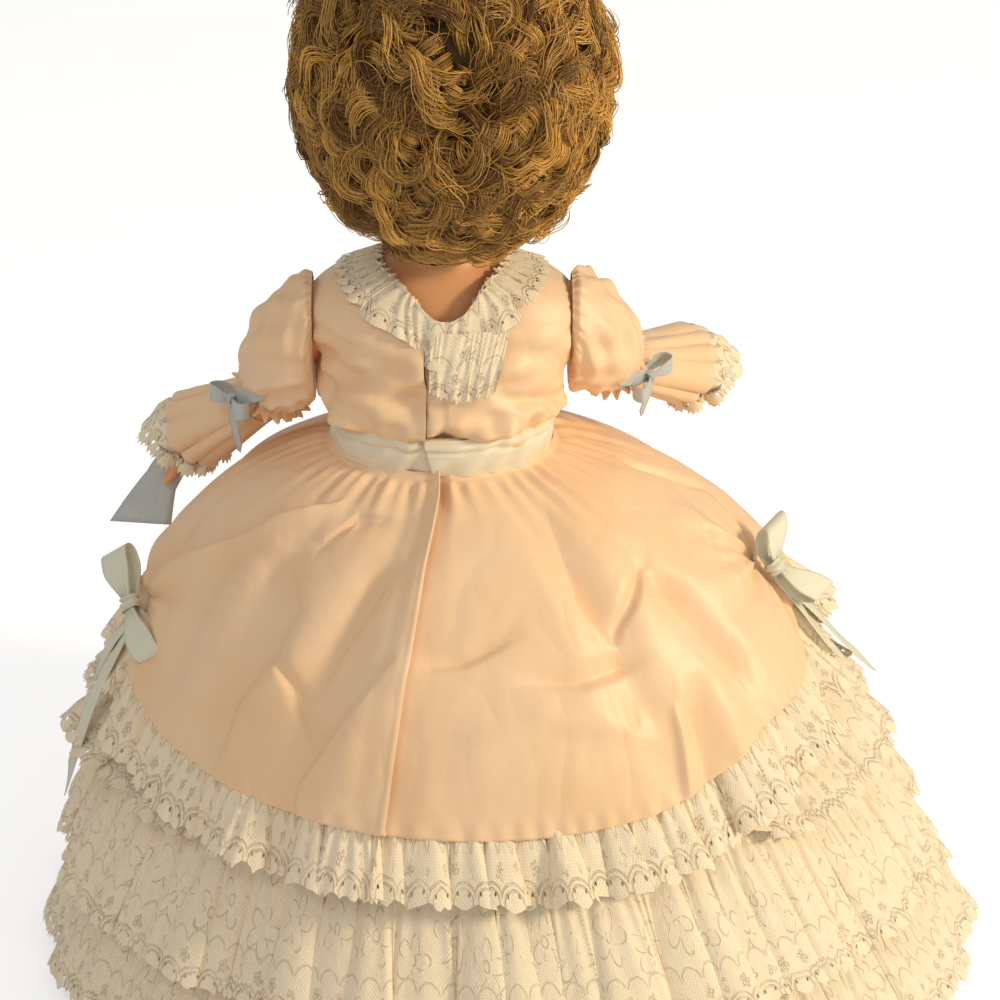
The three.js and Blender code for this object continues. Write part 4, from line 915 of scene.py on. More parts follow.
def overskirt_trim():
    """The gathered lace under the overskirt's edge, open where the overskirt laps."""
    phase = ruffles(31, 8.4, TRIM_GIRTH)
    fine = ruffles(32, 3.4, TRIM_GIRTH)
    slack = Waves(33, 25, loop=TRIM_GIRTH)
    start = np.radians(LAP_ANGLES[-2] - 3.5)

    def at(u, v):
        angle = start + 2 * np.pi * u * TRIM_TURNS
        edge = edge_share(angle)
        share = edge + lerp(-0.03, TRIM_WIDTH + 0.006, v)
        s = u * TRIM_GIRTH
        behind = overskirt_out(angle, np.minimum(share, edge)) - 3.1
        swing = phase(s)
        deep = 2.7 + 1.3 * slack(s)
        out = behind + deep * v * (1 + np.cos(swing)) + 0.5 * np.cos(fine(s)) + v + 0.9 * smooth(u, 0.985, 1)
        out = out - 2.2 * (1 - smooth(u, 0.005, 0.03))
        return skirt(angle + 3.8 * v * np.sin(swing) / TRIM_R, share, out)

    columns = int(TRIM_GIRTH / 0.36)
    return show_lace("overskirt_trim_strip", "overskirt_trim", at, columns, TRIM_DROP, False, rows=20)


def plain_skirt(name, material, node, out, hem_z, ripple, seed):
    u, v = sheet_shares(420, 60, closed=True)
    angle = 2 * np.pi * u
    share = lerp(0, share_at(hem_z), v)
    waves = Waves(seed, 0.5, 0.8, loop=2 * np.pi)
    points = skirt(angle, share, out + ripple * v * waves(angle, share))
    return show_grid(name, points, material, node, closed=True)


# Bodice

BODICE_ROWS = [
    (184.35, 32, 24.2),
    (SHOULDER_Z - 26, 33.6, 24.6),
    (SHOULDER_Z - 14, 38, 25.4),
    (SHOULDER_Z - 5, 41, 25),
    (SHOULDER_Z + 4, 40.6, 22.4),
    (NECK_Z - 9, 35, 18.8),
    (NECK_Z - 4, 23, 15.8),
    (NECK_Z - 1, 13, 11),
]
ARMHOLE_X = 38.6
NECKLINE = (17.5, 20.5)
BODICE_SHARES = np.linspace(0, 1, 400)
BODICE_LINE = spline(BODICE_ROWS, BODICE_SHARES)
SLIT_X = 3.0
BODICE_GIRTH = 200
BODICE_HALF = (34, 24)  # its rough half width and half depth
SQUARENESS = 2.4  # 2 would make the bodice an oval


def rounded(turn):
    """Across and back shares of a somewhat square oval."""
    reach = (np.abs(np.cos(turn)) ** SQUARENESS + np.abs(np.sin(turn)) ** SQUARENESS) ** (-1 / SQUARENESS)
    return reach * np.cos(turn), reach * np.sin(turn)


def bodice_size(place):
    """Height, half width and half depth at a share of the way from waist to neck."""
    return tuple(np.interp(place, BODICE_SHARES, BODICE_LINE[:, k]) for k in range(3))


def bodice_place(z):
    """The share of the way from waist to neck at a height."""
    return np.interp(z, BODICE_LINE[:, 0], BODICE_SHARES)


def back_y(x, place):
    """How far back the bodice's face is at a distance across and a share of the way up."""
    _, a, b = bodice_size(place)
    return b * np.maximum(1 - np.abs(x / a) ** SQUARENESS, 0) ** (1 / SQUARENESS)


def bodice_face(turn, place, out):
    """A point of the bodice at a turn round it, a share of the way up and a distance out."""
    z, a, b = bodice_size(place)
    across, back = rounded(turn)
    return point(np.clip((a + out) * across, -ARMHOLE_X, ARMHOLE_X), (b + out) * back, z)


def neck_place(turn):
    """The share of the way up at which the bodice ends. The neckline dips to a point at the back."""
    places = np.linspace(0.4, 0.999, 300)
    _, a, b = bodice_size(places)
    dip = 1.8 * bump(np.mod(turn, 2 * np.pi) - np.radians(102), 0.4)[:, None]
    across, back = (side[:, None] for side in rounded(turn))
    inside = (a * across / NECKLINE[0]) ** 2 + (b * back / (NECKLINE[1] + dip)) ** 2
    return places[np.argmax(inside < 1, axis=1)]


def bodice():
    u, v = sheet_shares(420, 130)
    turn = math.atan2(BODICE_HALF[1], SLIT_X) + 2 * np.pi * u
    place = neck_place(turn[:, 0])[:, None] * v
    z = bodice_size(place)[0]
    x = BODICE_HALF[0] * np.cos(turn)
    back = np.sin(turn) > 0
    uneven = 1 + 0.25 * np.cos(9 * turn) + 0.15 * np.cos(17 * turn + 1)
    puff = 3.4 * smooth(z, 193.5, 197.5) * (1 - smooth(z, 199, 213)) * uneven
    folds = 0.8 * Waves(21, 1.0, 14)(turn, z) * (1 - smooth(z, 220, 230))
    pleats = 0.5 * np.cos(30 * turn + np.sin(3 * turn)) * bump(z - 197, 5)
    left_lip = 1.6 * bump((1 - u) * BODICE_GIRTH - 1.2, 3.4) * bump(z - 219, 12)
    under = -0.9 * (1 - smooth(u, 0.02, 0.03))
    valley = -3.2 * back * bump(x - 8, 4) * bump(z - 205, 6)
    hollow = -4.0 * back * bump(x - 27, 6) * bump(z - 217, 8)
    slant = bump(z - (205 + (x + 24) * 0.35), 2.5)
    fold = -3.0 * back * slant * smooth(-x, 12, 18) * (1 - smooth(-x, 30, 35))
    out = 0.3 + puff + folds + pleats + left_lip + under + valley + hollow + fold
    points = bodice_face(turn, place, out)
    return show_grid("bodice_cloth", points, TAFFETA, "bodice")


def collar():
    """A gathered lace collar. It lies along the neckline, which comes to a point at the back."""
    girth, reach = 150, 13.5
    start = np.radians(100)
    phase = ruffles(41, 6.5, girth)
    fine = ruffles(42, 2.6, girth)
    places = np.linspace(0.999, 0.3, 260)

    def at(u, v):
        turn = 2 * np.pi * u + start
        swing = phase(u * girth)
        down = lerp(-1.8, reach, v)
        place = np.empty(np.broadcast_shapes(u.shape, down.shape))
        for k, (angle, edge) in enumerate(zip(turn[:, 0], neck_place(turn[:, 0]))):
            fall = arc_lengths(bodice_face(angle, places, 0))
            fall = fall - np.interp(-edge, -places, fall)
            place[k] = np.interp(down[0], fall, places)
        gathers = 1.5 * v * (0.5 + 0.5 * np.cos(swing)) + 0.3 * np.cos(fine(u * girth))
        lift = 1.2 + gathers + 1.3 * bump(v, 0.35)
        return bodice_face(turn + 0.05 * v * np.sin(swing), place, lift)

    def frill(u, v):
        turn = 2 * np.pi * u + start
        swing = phase(u * girth) + 0.7
        lift = 1.6 + v * (2.0 + 1.2 * np.cos(swing))
        face = bodice_face(turn, neck_place(turn[:, 0])[:, None] - 0.012 + 0 * v, lift)
        inward = 2.8 * v + 0.5 * v * np.cos(2.1 * swing)
        return face + unit(face * [-1, -1, 0]) * inward[..., None] + point(0, 0, 1.4 * v + 0 * u)

    show(gathered_lace("collar_frill", frill, columns=620, drop=5, closed=True, rows=9), LACE)
    return show_lace("collar_strip", "collar_lace", at, columns=620, drop=reach, closed=True, rows=24)


def placket_lace():
    """The lace over the back opening, gathered under the collar's point."""
    girth = 34
    phase = ruffles(43, 6.0, girth)

    def at(u, v):
        x = lerp(3.4, lerp(-20, -16, v), u)
        z = lerp(SHOULDER_Z + 4, SHOULDER_Z - 14.5, v) - 2.6 * np.sin(np.pi * u) * v
        swing = phase(u * girth)
        slack = np.sin(4.2 * u + 5 * v) * np.sin(7 * v + 3 * u)
        ripple = 0.4 * v * (1 + np.cos(swing)) + 0.12 * np.cos(2.3 * swing + 9 * v) + 0.7 * slack
        return point(x + 0.6 * v * np.sin(swing), back_y(x, bodice_place(z)) + 2.3 + ripple, z)

    return show_lace("placket_strip", "placket_lace", at, columns=110, drop=20, closed=False, rows=44)


def sash():
    """The satin sash, with its end on the doll's right lying over the other one at the back."""
    u, v = sheet_shares(420, 22)
    slant = 5 * (v - 0.5) * smooth(u, 0.9, 1)
    turn = np.radians(lerp(101, -277 + slant, u))
    lap = 1.25 * smooth(u, 0.9, 0.95)
    z = lerp(195.0, 183.0, v)
    _, a, b = bodice_size(bodice_place(z))
    waves = Waves(51, 0.5, 1.2)
    fold = -0.8 * bump(v - 0.3 - 0.03 * waves(turn, v), 0.06) + 0.5 * bump(v - 0.2, 0.09)
    creases = 0.18 * Waves(52, 0.3, 1.6)(turn, v)
    out = 1.2 + lap + fold + creases + 0.6 * np.sin(np.pi * v) - 1.1 * bump(v, 0.1)
    across, back = rounded(turn)
    points = point((a + out) * across, (b + out) * back, z)
    return thicken(show_grid("sash_ribbon", points, SASH_SATIN, "sash"))


# Ribbons and bows

RIBBON_WIDTH = 9
LOOP_LENGTH = 19
LOOP_DEPTH = 7
TAIL_REACH = 105  # the skirt's half width where the bows' tails hang


def loop_line(length, depth):
    """The line of a bow's loop: out from the knot and back to it."""
    t = np.linspace(0, 1, 30)
    out = bezier((0, -1), (length * 0.5, -1.6), (length, -1), (length, depth / 2), t)
    back = bezier((length, depth / 2), (length, depth + 1), (length * 0.5, depth * 0.7), (0, 2.4), t)
    return np.concatenate([out, back[1:]])


def bow_grids(scale, axes, base, lengths=(1, 1), droop=(0, 0)):
    """A bow's two loops and its knot as grids of points, tied at a base. Each loop has its own droop."""
    w = np.linspace(-1, 1, 11)
    grids = []
    for side, stretch, drop in zip((1, -1), lengths, droop):
        line = loop_line(LOOP_LENGTH * stretch, LOOP_DEPTH)
        far = line[:, :1] / (LOOP_LENGTH * stretch)
        half = RIBBON_WIDTH / 2 * (0.34 + 0.76 * smooth(far, 0, 0.7))
        pinch = 0.8 * (1 - smooth(far, 0, 0.5)) * np.cos(3.2 * np.pi * w)
        grids.append(point(side * line[:, :1], line[:, 1:] + pinch, half * w + drop * far**1.4))
    a, b = full_turn(40), np.linspace(-1, 1, 13)
    swell = 1 + 0.16 * np.cos(2 * np.pi * b) - 0.12 * b**2
    grids.append(point(2.6 * b + 0.2 * np.sin(3 * a), 1.2 + 2.7 * swell * np.sin(a), 3.1 * swell * np.cos(a)))
    return [grid * scale @ np.array(axes) + base for grid in grids]


def tie(pieces):
    """Takes a bow's knot, its third piece, out of the list, and reads the face areas of the loops and tails
    left in it.
    """
    knot = pieces.pop(2)
    for piece in pieces:
        cut_sheet(piece)


def skirt_bow(side, bow, roll, tails, droop, lengths):
    """A ribbon bow that catches the overskirt up, rolled on its knot, with tails down the skirt."""
    name = f"skirt_bow_{side}"
    angle, share = np.radians(bow["angle"]), share_at(bow["z"])
    out = float(overskirt_out(angle, share)) + SEAT + 2.2
    base = skirt(angle, share, out)
    away = unit(unit(skirt(angle, share, out + 1) - base) + 0.9 * np.array([0, 1, 0.3]))
    level, below = square_to(away, [-np.sin(angle), np.cos(angle), 0])
    turn = np.radians(roll)
    axes = [turned(turn, level, below), away, turned(turn, -below, level)]
    *loops, knot = bow_grids(np.array([0.8, 1, 1.05]), axes, base + 3 * away, lengths, droop)
    made = [bow_ribbon(f"{name}_loop_{k}", grid) for k, grid in enumerate(loops)]
    made.append(show(grid_mesh(f"{name}_knot", knot, closed=True), BOW_SATIN))
    for k, (swing, length, lift, width) in enumerate(tails):
        v, w = sheet_shares(50, 9)
        w = 2 * w - 1
        spread = width / 2 / TAIL_REACH * (0.55 + 0.45 * smooth(v, 0, 0.3))
        path = np.radians(bow["angle"] + swing * v) + spread * w + 0.02 * np.sin(2.5 * np.pi * v) * v
        below = lerp(share, share_at(bow["z"] - length), v) + 0.016 * w * smooth(v, 0.85, 1)
        offset = out - 1 + lift * v + 1.1 * np.sin(5 * v + w) * v
        made.append(bow_ribbon(f"{name}_tail_{k}", skirt(path, below, offset)))
    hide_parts(name)
    tie(made)


def bow_ribbon(name, grid):
    return thicken(show(grid_mesh(name, grid), BOW_SATIN))


# Arms and sleeves

ARM_PATH = np.array(
    [
        (39, 0, SHOULDER_Z),
        (46, -5, SHOULDER_Z - 16),
        (53, -13, SHOULDER_Z - 34),
        (68, -28, SHOULDER_Z - 49),
        (82, -42, SHOULDER_Z - 63),
    ],
    float,
)
ARM_RADII = np.array([8.8, 8.4, 7.7, 7, 5.2])
FOREARM_LENGTH = arc_lengths(spline(ARM_PATH[2:], np.linspace(0, 1, 40)))[-1]
HAND_WAY = unit(np.array([0.3, -0.2, -0.93]))
SLEEVE_RADII = np.array([13.4, 16, 15.8, 12.8, 9.6])
SLEEVE_STATIONS = np.array([0, 0.27, 0.56, 0.83, 0.93])
# Each finger's place across the palm, its length and its thickness
FINGERS = [(-4.2, 10.4, 1.35), (-1.4, 12.6, 1.5), (1.5, 12.8, 1.5), (4.3, 11.4, 1.45)]


def on_side(points, side):
    """Points drawn for the left arm, or where the same arm is on the doll's right."""
    if side == "left":
        return points
    x, y, z = xyz(points * [-1, 1, 1] - SHOULDER_PIVOT)
    swing = np.radians(-RIGHT_ARM_SWING)
    return point(x, turned(swing, y, -z), turned(swing, z, y)) + SHOULDER_PIVOT


def show_on_arm(name, grid, side, material, node=None, closed=True):
    points = on_side(grid, side)[:: SIDES[side]]
    mesh = grid_mesh(f"{name}_{side}", points, closed=closed)
    return show(mesh, material, f"arm_{side}", [f"{node}_{side}"] if node else ())


def sleeve(side):
    """The puffed upper sleeve, gathered at the armhole and drawn in at the elbow."""
    share = np.linspace(0, 0.985, 90)
    line = spline(ARM_PATH[:3], share)
    along = unit(np.gradient(line, axis=0))
    along = unit(lerp(np.array([1.0, 0, 0]), along, np.minimum(1, 1.4 * share)[:, None]))
    across, up = square_to(along, [0, 1, 0])
    radius = spline(SLEEVE_RADII[:, None], np.interp(share, SLEEVE_STATIONS, np.linspace(0, 1, 5)))[:, 0]
    frill = smooth(share, 0.93, 0.985)
    radius = radius + 2.6 * frill - 2.4 * (1 - smooth(share, -0.02, 0.09))
    turn = full_turn(200)
    loose = Waves(61 if side == "left" else 62, 0.9, 0.4, loop=2 * np.pi)
    puff = np.sin(np.pi * np.clip(share / 0.93, 0, 1))
    folds = 0.8 * puff * loose(turn, share)
    ends = 0.5 * bump(share, 0.1) + bump(share - 0.93, 0.12)
    pleats = 0.7 * ends * (np.cos(23 * turn) + 0.5 * np.cos(37 * turn + 1))
    ridge = 2.2 * puff * bump(np.mod(turn - 1.15 - 1.4 * share, 2 * np.pi) - 1.0, 0.2)
    crease = -2.2 * puff * bump(np.mod(turn + 0.6 * share, 2 * np.pi) - 2.1, 0.16)
    flute = 0.9 * frill * np.cos(19 * turn)
    reach = (radius + folds + pleats + ridge + crease + flute)[..., None]
    grid = line + reach * turned(turn[..., None], across, up)
    grid[..., 0] = np.maximum(grid[..., 0], ARMHOLE_X + SEAT)
    return show_on_arm("sleeve_cloth", grid, side, TAFFETA, "sleeve")


def forearm(share):
    """The middle of the forearm, going on along the hand past the wrist."""
    line = spline(ARM_PATH[2:], np.minimum(share, 1))
    return line + np.maximum(0, share - 1)[..., None] * FOREARM_LENGTH * HAND_WAY


def forearm_flare(start, end, radii, fold, gathers, seed):
    """A surface round the forearm that flares from start to end."""
    wave = Waves(seed, 1.6, loop=2 * np.pi, count=4)

    def at(u, v):
        share = lerp(start, end, np.broadcast_to(v, np.broadcast_shapes(u.shape, v.shape)))
        turn = 2 * np.pi * u
        along = unit(forearm(share + 0.01) - forearm(share - 0.01))
        across = unit(np.cross([0, 0, 1.0], along))
        swing = gathers * turn + 1.1 * wave(turn)
        reach = lerp(*radii, v) + fold * v * (0.5 + 0.5 * np.cos(swing))
        place = turn + 0.1 * v * np.sin(swing)
        return forearm(share) + reach[..., None] * turned(place[..., None], across, np.cross(along, across))

    return at


def sleeve_flounce(side):
    at = forearm_flare(0.12, 0.86, radii=(8.1, 11.3), fold=2.4, gathers=9, seed=71)
    grid = at(*sheet_shares(180, 46, closed=True))
    return show_on_arm("sleeve_flounce_cloth", grid, side, TAFFETA, "sleeve_flounce")


def cuff_lace(side):
    at = forearm_flare(0.8, 1.1, radii=(9.4, 13), fold=2.6, gathers=9, seed=72)
    on_arm = lambda u, v: on_side(at(u, v), side)
    mesh = gathered_lace(f"cuff_strip_{side}", on_arm, columns=320, drop=11, closed=True)
    return show(mesh, LACE, f"arm_{side}", [f"cuff_lace_{side}"])


def hand():
    """The closed shapes of a hand: its palm, fingers and thumb."""
    wrist = ARM_PATH[-1]
    across, behind = square_to(HAND_WAY, [0.1, 0.95, -0.2])
    through = -behind
    palm = wrist + HAND_WAY * np.array([-3, 3, 8, 12])[:, None]
    shapes = [capped(tube_grid(palm, (4.7, 4.9, 4.6, 3.4), 20, through))]
    shapes.append(ball_shape(wrist + HAND_WAY * 7.5, (3.4, 5.6, 6.4)))
    for place, length, thick in FINGERS:
        root = wrist + HAND_WAY * 8.5 + across * place * 0.9
        t = np.linspace(0, 1, 8)[:, None]
        curl = -through * 2.2 * t**2
        finger = root + HAND_WAY * length * t + curl + across * place * 0.08 * t
        shapes.append(capped(tube_grid(finger, thick * (1 - 0.25 * t[:, 0]), 14, through)))
        shapes.append(ball_shape(finger[-1], thick * 0.76, 14, 10))
    t = np.linspace(0, 1, 6)[:, None]
    thumb_way = unit(HAND_WAY - across * 0.7)
    thumb = wrist + HAND_WAY * 4 - across * 3 + thumb_way * 8.4 * t - through * 1.4 * t
    shapes.append(capped(tube_grid(thumb, (2.1, 2.1, 2, 1.9, 1.8, 1.6), 14, through)))
    shapes.append(ball_shape(thumb[-1], 1.65, 14, 10))
    return shapes


def arm(side):
    share = np.linspace(0, 1, 40)
    radii = np.interp(share, np.linspace(0, 1, 5), ARM_RADII)
    upper = capped(tube_grid(spline(ARM_PATH, share), radii))
    shapes = [upper, ball_shape(ARM_PATH[0] + [1, 0, 0], 9.2), *hand()]
    shapes = [(on_side(points, side), faces[:, :: SIDES[side]]) for points, faces in shapes]
    skin = melted(f"arm_skin_{side}", shapes, voxel=0.5, rounds=3)
    return show(skin, VINYL, f"arm_{side}", [f"arm_{side}"])


def arm_ribbon(name, grid, side, node=None):
    return thicken(show_on_arm(name, grid, side, BLUE_SATIN, node, closed=False))


def sleeve_bow(side):
    """A small bow with two tails at the outside of the elbow."""
    away = unit(np.array([0.83, 0.55, 0.07]))
    level = unit(np.cross(away, [0, 0, 1]))
    up = np.cross(level, away)
    base = ARM_PATH[2] + 12.6 * away
    first, second, knot = bow_grids(np.array([0.5, 0.8, 0.56]), [level, away, up], base)
    made = [arm_ribbon("sleeve_bow_0", first, side, "sleeve_bow"), arm_ribbon("sleeve_bow_1", second, side)]
    made.append(show_on_arm("sleeve_bow_2", knot, side, BLUE_SATIN))
    for k, (heading, length) in enumerate(((-86, 19), (150, 17))):
        t, w = sheet_shares(30, 7)
        w = 2 * w - 1
        way = turned(np.radians(heading), level, up)
        sag = -1.5 * t**2 + 0.8 * np.sin(5 * t)
        half = 2.6 * smooth(t, -0.3, 0.3) * (1 - 0.6 * smooth(t, 0.75, 1))
        grid = base + point(length * t, half * w, sag) @ np.array([way, np.cross(way, away), away])
        made.append(arm_ribbon(f"sleeve_bow_tail_{k}", grid, side))
    if side == "left":
        made.append(long_tail())
    tie(made)


def long_tail():
    """The left ribbon's other end, which hangs inside the arm and shows beyond the hand."""
    t, w = np.linspace(0, 1, 50), np.linspace(-1, 1, 7)[:, None]
    line = bezier((43, -23, 192), (62, -44, 180), (84, -58, 162), (99.5, -42, 129), t)
    across = unit(np.cross(np.gradient(line, axis=0), [0.2, 0.8, 0.55]))
    half = 2.4 + 3.6 * smooth(t, 0.3, 0.9)
    grid = line[:, None] + across[:, None] * half[:, None, None] * w
    grid[-8:] += np.linspace(0, 1, 8)[:, None, None] * np.array([5.0, 0, -2]) * w
    return arm_ribbon("sleeve_bow_tail_2", grid, "left")


# Head, eyes and hair

# The forms of the face: across and up from its middle, half width, half height and how far they stand out
FACE_FORMS = [
    (0, -36, 9, 8, 8),
    (0, -23, 11, 8, 3.4),
    (-19, -20, 10, 10, 3),
    (19, -20, 10, 10, 3),
    (0, -8, 5, 9, 1.6),
    (-EYE[0], -3, 9, 7, -1.2),
    (EYE[0], -3, 9, 7, -1.2),
    (0, -12.6, 3.2, 3.4, 3.6),
    (-2.2, -21.4, 2.8, 1.3, 1.2),
    (2.2, -21.4, 2.8, 1.3, 1.2),
    (0, -24, 3.8, 1.5, 1.3),
]


def head():
    """The vinyl head: a skull whose front is pushed out into a calm, round face."""
    drop = np.linspace(0.01, np.pi - 0.01, 160)[None, ::-1]
    x, y, z = xyz(on_ball(full_turn(220), drop) * SKULL)
    push = sum(h * bump(x - fx, wide) * bump(z - fz, tall) for fx, fz, wide, tall, h in FACE_FORMS)
    front = smooth(-y / SKULL[1], 0.1, 0.6)
    nape = 1 - 0.12 * smooth(y / SKULL[1], 0, 0.3) * smooth(-z / SKULL[2], 0.3, 1)
    skull = point(x * nape, y * nape - front * push, z + HEAD_Z)
    neck = point(0, 0, np.linspace(NECK_Z + SEAT, HEAD_Z - 22, 12))
    shapes = [capped(skull), capped(tube_grid(neck, np.linspace(NECK_R, NECK_R + 3, 12), 48))]
    cutters = []
    for sign in (-1, 1):
        shapes.append(ball_shape((sign * (SKULL[0] - 0.6), 3, HEAD_Z - 8), (3, 5.4, 8)))
        cutters.append(ball_shape(EYE * [sign, 1, 1], EYE_R + 0.5, 48, 32))
        cutters.append(almond(EYE * [sign, 1, 1]))
    skin = melted("head_skin", shapes, voxel=0.6, rounds=2)
    return show(carved(skin, cutters), VINYL, "head", ["head"])


def almond(centre):
    """The prism that opens the lids in front of an eye."""
    turn = full_turn(40)
    square = lambda value: np.sign(value) * np.abs(value) ** (2 / 2.3)
    x = 7.4 * square(np.cos(turn))
    z = 5.2 * square(np.sin(turn)) * (1 - 0.1 * np.cos(turn) ** 2)
    return capped((centre + point(x, [[-22, -4]], z))[::-1])


def eye(side):
    centre = EYE * [SIDES[side], 1, 1]
    points, faces = ball_shape(centre, EYE_R, 64, 48)
    show(mesh_from(f"eye_{side}", points, faces), EYE_GLOSS, "eyes", [f"eyeball_{side}"])
    rng = np.random.default_rng(5)
    count, steps = 26, 7
    turn = np.radians(np.linspace(-21, 21, count))[:, None]
    t = np.linspace(0, 1, steps)[None, :]
    reach = EYE_R + 0.1 + (2.0 + 0.5 * rng.random((count, 1))) * t
    tilt = np.radians(21) + 0.16 * t**2
    line = point(np.cos(tilt) * np.sin(turn), -np.cos(tilt) * np.cos(turn), np.sin(tilt)) * reach[..., None]
    lashes = strands(centre + line, 0.13 * (1 - 0.7 * t) + 0 * turn, np.zeros(count), f"lash_{side}")
    show(lashes, LASH, "eyes", [f"eyelash_{side}"])


def strands(lines, radii, tones, name):
    """Thin three-sided strands along lines[strand, step], with a tone each for the map."""
    count, steps = lines.shape[:2]
    along = unit(np.gradient(lines, axis=1))
    side = unit(np.cross(along, unit(lines - HAIR_CENTRE)))
    up = np.cross(side, along)
    rings = [lines + radii[..., None] * turned(a, side, up) for a in np.radians([90, 210, 330])]
    points = np.stack(rings, axis=2)
    k, i, j = np.meshgrid(np.arange(count), np.arange(steps - 1), np.arange(3), indexing="ij")
    corners = [(i, j), (i, (j + 1) % 3), (i + 1, (j + 1) % 3), (i + 1, j)]
    faces = np.stack([(k * steps + step) * 3 + turn for step, turn in corners], axis=-1)
    uvs = np.stack([np.stack([tones[k], step / (steps - 1)], axis=-1) for step, _ in corners], axis=-2)
    return mesh_from(name, points.reshape(-1, 3), faces.reshape(-1, 4), uvs)


WHORL = unit(np.array([-0.05, 0.88, 0.4]))
HAIR_REACH = 50  # the hair's rough radius
HAIR_END_Z = 250.5
NAPE_HAIR_END_Z = 247.5
UNDERCOAT_END_Z = 252
MOST_FACES = 190000  # in one piece of the hair


def in_face(points):
    x, y, z = xyz(points)
    return (y < -6) & ((x / 28) ** 2 + ((z - (HEAD_Z - 12)) / 33) ** 2 < 1)


def spread_roots(count):
    """Points spread evenly over a ball by the golden angle."""
    i = np.arange(count)
    z = 1 - 2 * (i + 0.5) / count
    turn = i * np.pi * (3 - math.sqrt(5))
    flat = np.sqrt(1 - z * z)
    return point(flat * np.cos(turn), flat * np.sin(turn), z)


def flow_from_whorl(at):
    """The ways out from the whorl at the back of the head and round it, at points of a ball."""
    outward = -unit(WHORL - at * (at @ WHORL)[:, None])
    return outward, np.cross(at, outward)


def on_head(at, level):
    return HAIR_CENTRE + HAIR_RADII * at * level[..., None]


HAIR_DRIFT = Waves(3, 0.9, 0.9, 0.9)


def tufts(rng):
    """Short curved tufts, their strands side by side, that circle the whorl in waves."""
    each, steps = 24, 17
    roots = spread_roots(1050)
    roots = roots[roots[:, 2] > -0.95]
    count = len(roots)
    low = smooth(-roots[:, 2], -0.2, 0.5)
    swirl = 1.15 + 0.6 * HAIR_DRIFT(*roots.T) + 0.35 * rng.normal(size=count)
    length = rng.uniform(17, 32, count)
    wave = rng.uniform(12, 20, count)
    phase = 2.2 * HAIR_DRIFT(*(roots * 0.8).T) + 0.8 * rng.normal(size=count)
    top = rng.uniform(0.92, 0.99, count) + 0.03 * HAIR_DRIFT(*(roots * 2).T) - 0.02 * low
    tone = np.clip(0.5 + 0.3 * rng.normal(size=count), 0.03, 0.97)
    curl = rng.uniform(4.5, 9, count) * rng.choice([-1, 1], count, p=[0.3, 0.7])
    lock = np.repeat(np.arange(count), each)
    total = len(lock)
    outward, across = flow_from_whorl(roots[lock])
    turn = (swirl[lock] + 0.07 * rng.normal(size=total))[:, None]
    heading = turned(turn, outward, across)
    beside = np.cross(roots[lock], heading)
    spread = rng.uniform(-0.045, 0.045, total)[:, None]
    at = unit(roots[lock] + beside * spread + 0.01 * rng.normal(size=(total, 3)))
    step = length[lock] * rng.uniform(0.8, 1.15, total) / (steps - 1)
    own_top = top[lock] + 0.012 * rng.normal(size=total) + 0.03 * (rng.random(total) < 0.05)
    lines = np.empty((total, steps, 3))
    for k in range(steps):
        share = k / (steps - 1)
        s = k * step
        swell = 0.014 * np.sin(2 * np.pi * s / wave[lock] + phase[lock] + 1)
        lines[:, k] = on_head(at, lerp(0.86, 1, smooth(share, 0, 0.4)) * own_top + swell)
        waving = 0.6 * 2 * np.pi / wave[lock] * np.cos(2 * np.pi * s / wave[lock] + phase[lock])
        bend = (lerp(waving, 1 / curl[lock], smooth(share, 0.3, 0.8)) * step)[:, None]
        heading = turned(bend, heading, np.cross(at, heading))
        at = unit(at + heading * (step / HAIR_REACH)[:, None])
        heading = unit(heading - at * np.sum(heading * at, axis=1, keepdims=True))
    return lines, tone[lock]


def ringlets(rng):
    """Coiled locks on the back and sides, each a few turns of a flat band of strands."""
    each, steps = 30, 34
    roots = spread_roots(300)
    roots = roots[(roots[:, 2] + 0.2 * rng.normal(size=len(roots)) < 0.35) & (roots[:, 2] > -0.97)]
    roots = roots[rng.random(len(roots)) < 0.75]
    count = len(roots)
    swirl = 1.5 * HAIR_DRIFT(*(roots * 1.3).T) + 0.7 * rng.normal(size=count)
    radius = rng.uniform(2.8, 5.6, count)
    turns = rng.uniform(1.2, 2.2, count)
    pitch = rng.uniform(4.6, 6.6, count)
    start = rng.uniform(0, 2 * np.pi, count)
    hand = rng.choice([-1, 1], count)
    level = 1.0 - radius / HAIR_REACH + rng.uniform(-0.06, 0.0, count) - 0.02 * smooth(-roots[:, 2], 0.2, 0.8)
    tone = np.clip(0.45 + 0.24 * rng.normal(size=count), 0.05, 0.95)
    lock = np.repeat(np.arange(count), each)
    total = len(lock)
    root = roots[lock]
    down, across = flow_from_whorl(root)
    heading = turned(swirl[lock][:, None], down, across)
    beside = np.cross(root, heading)
    aside = rng.uniform(-2.1, 2.1, total)
    own_radius = radius[lock] * (1 + 0.1 * rng.normal(size=total))
    own_start = start[lock] + 0.18 * rng.normal(size=total)
    own_turns = turns[lock] * rng.uniform(0.85, 1.1, total)
    lines = np.empty((total, steps, 3))
    for k in range(steps):
        share = k / (steps - 1)
        wound = 2 * np.pi * own_turns * share
        along = (pitch[lock] * wound / (2 * np.pi) + aside - pitch[lock] * turns[lock] / 2) / HAIR_REACH
        at = turned(along[:, None], root, heading)
        out = own_radius * (0.35 + 0.65 * smooth(wound, 0, 1.4)) * (1 - 0.12 * share)
        ring = turned((own_start + hand[lock] * wound)[:, None], at, beside)
        lift = lerp(0.93, 1, smooth(wound, 0, 1.4)) * level[lock]
        lines[:, k] = on_head(at, lift) + out[:, None] * ring
    return lines, tone[lock]


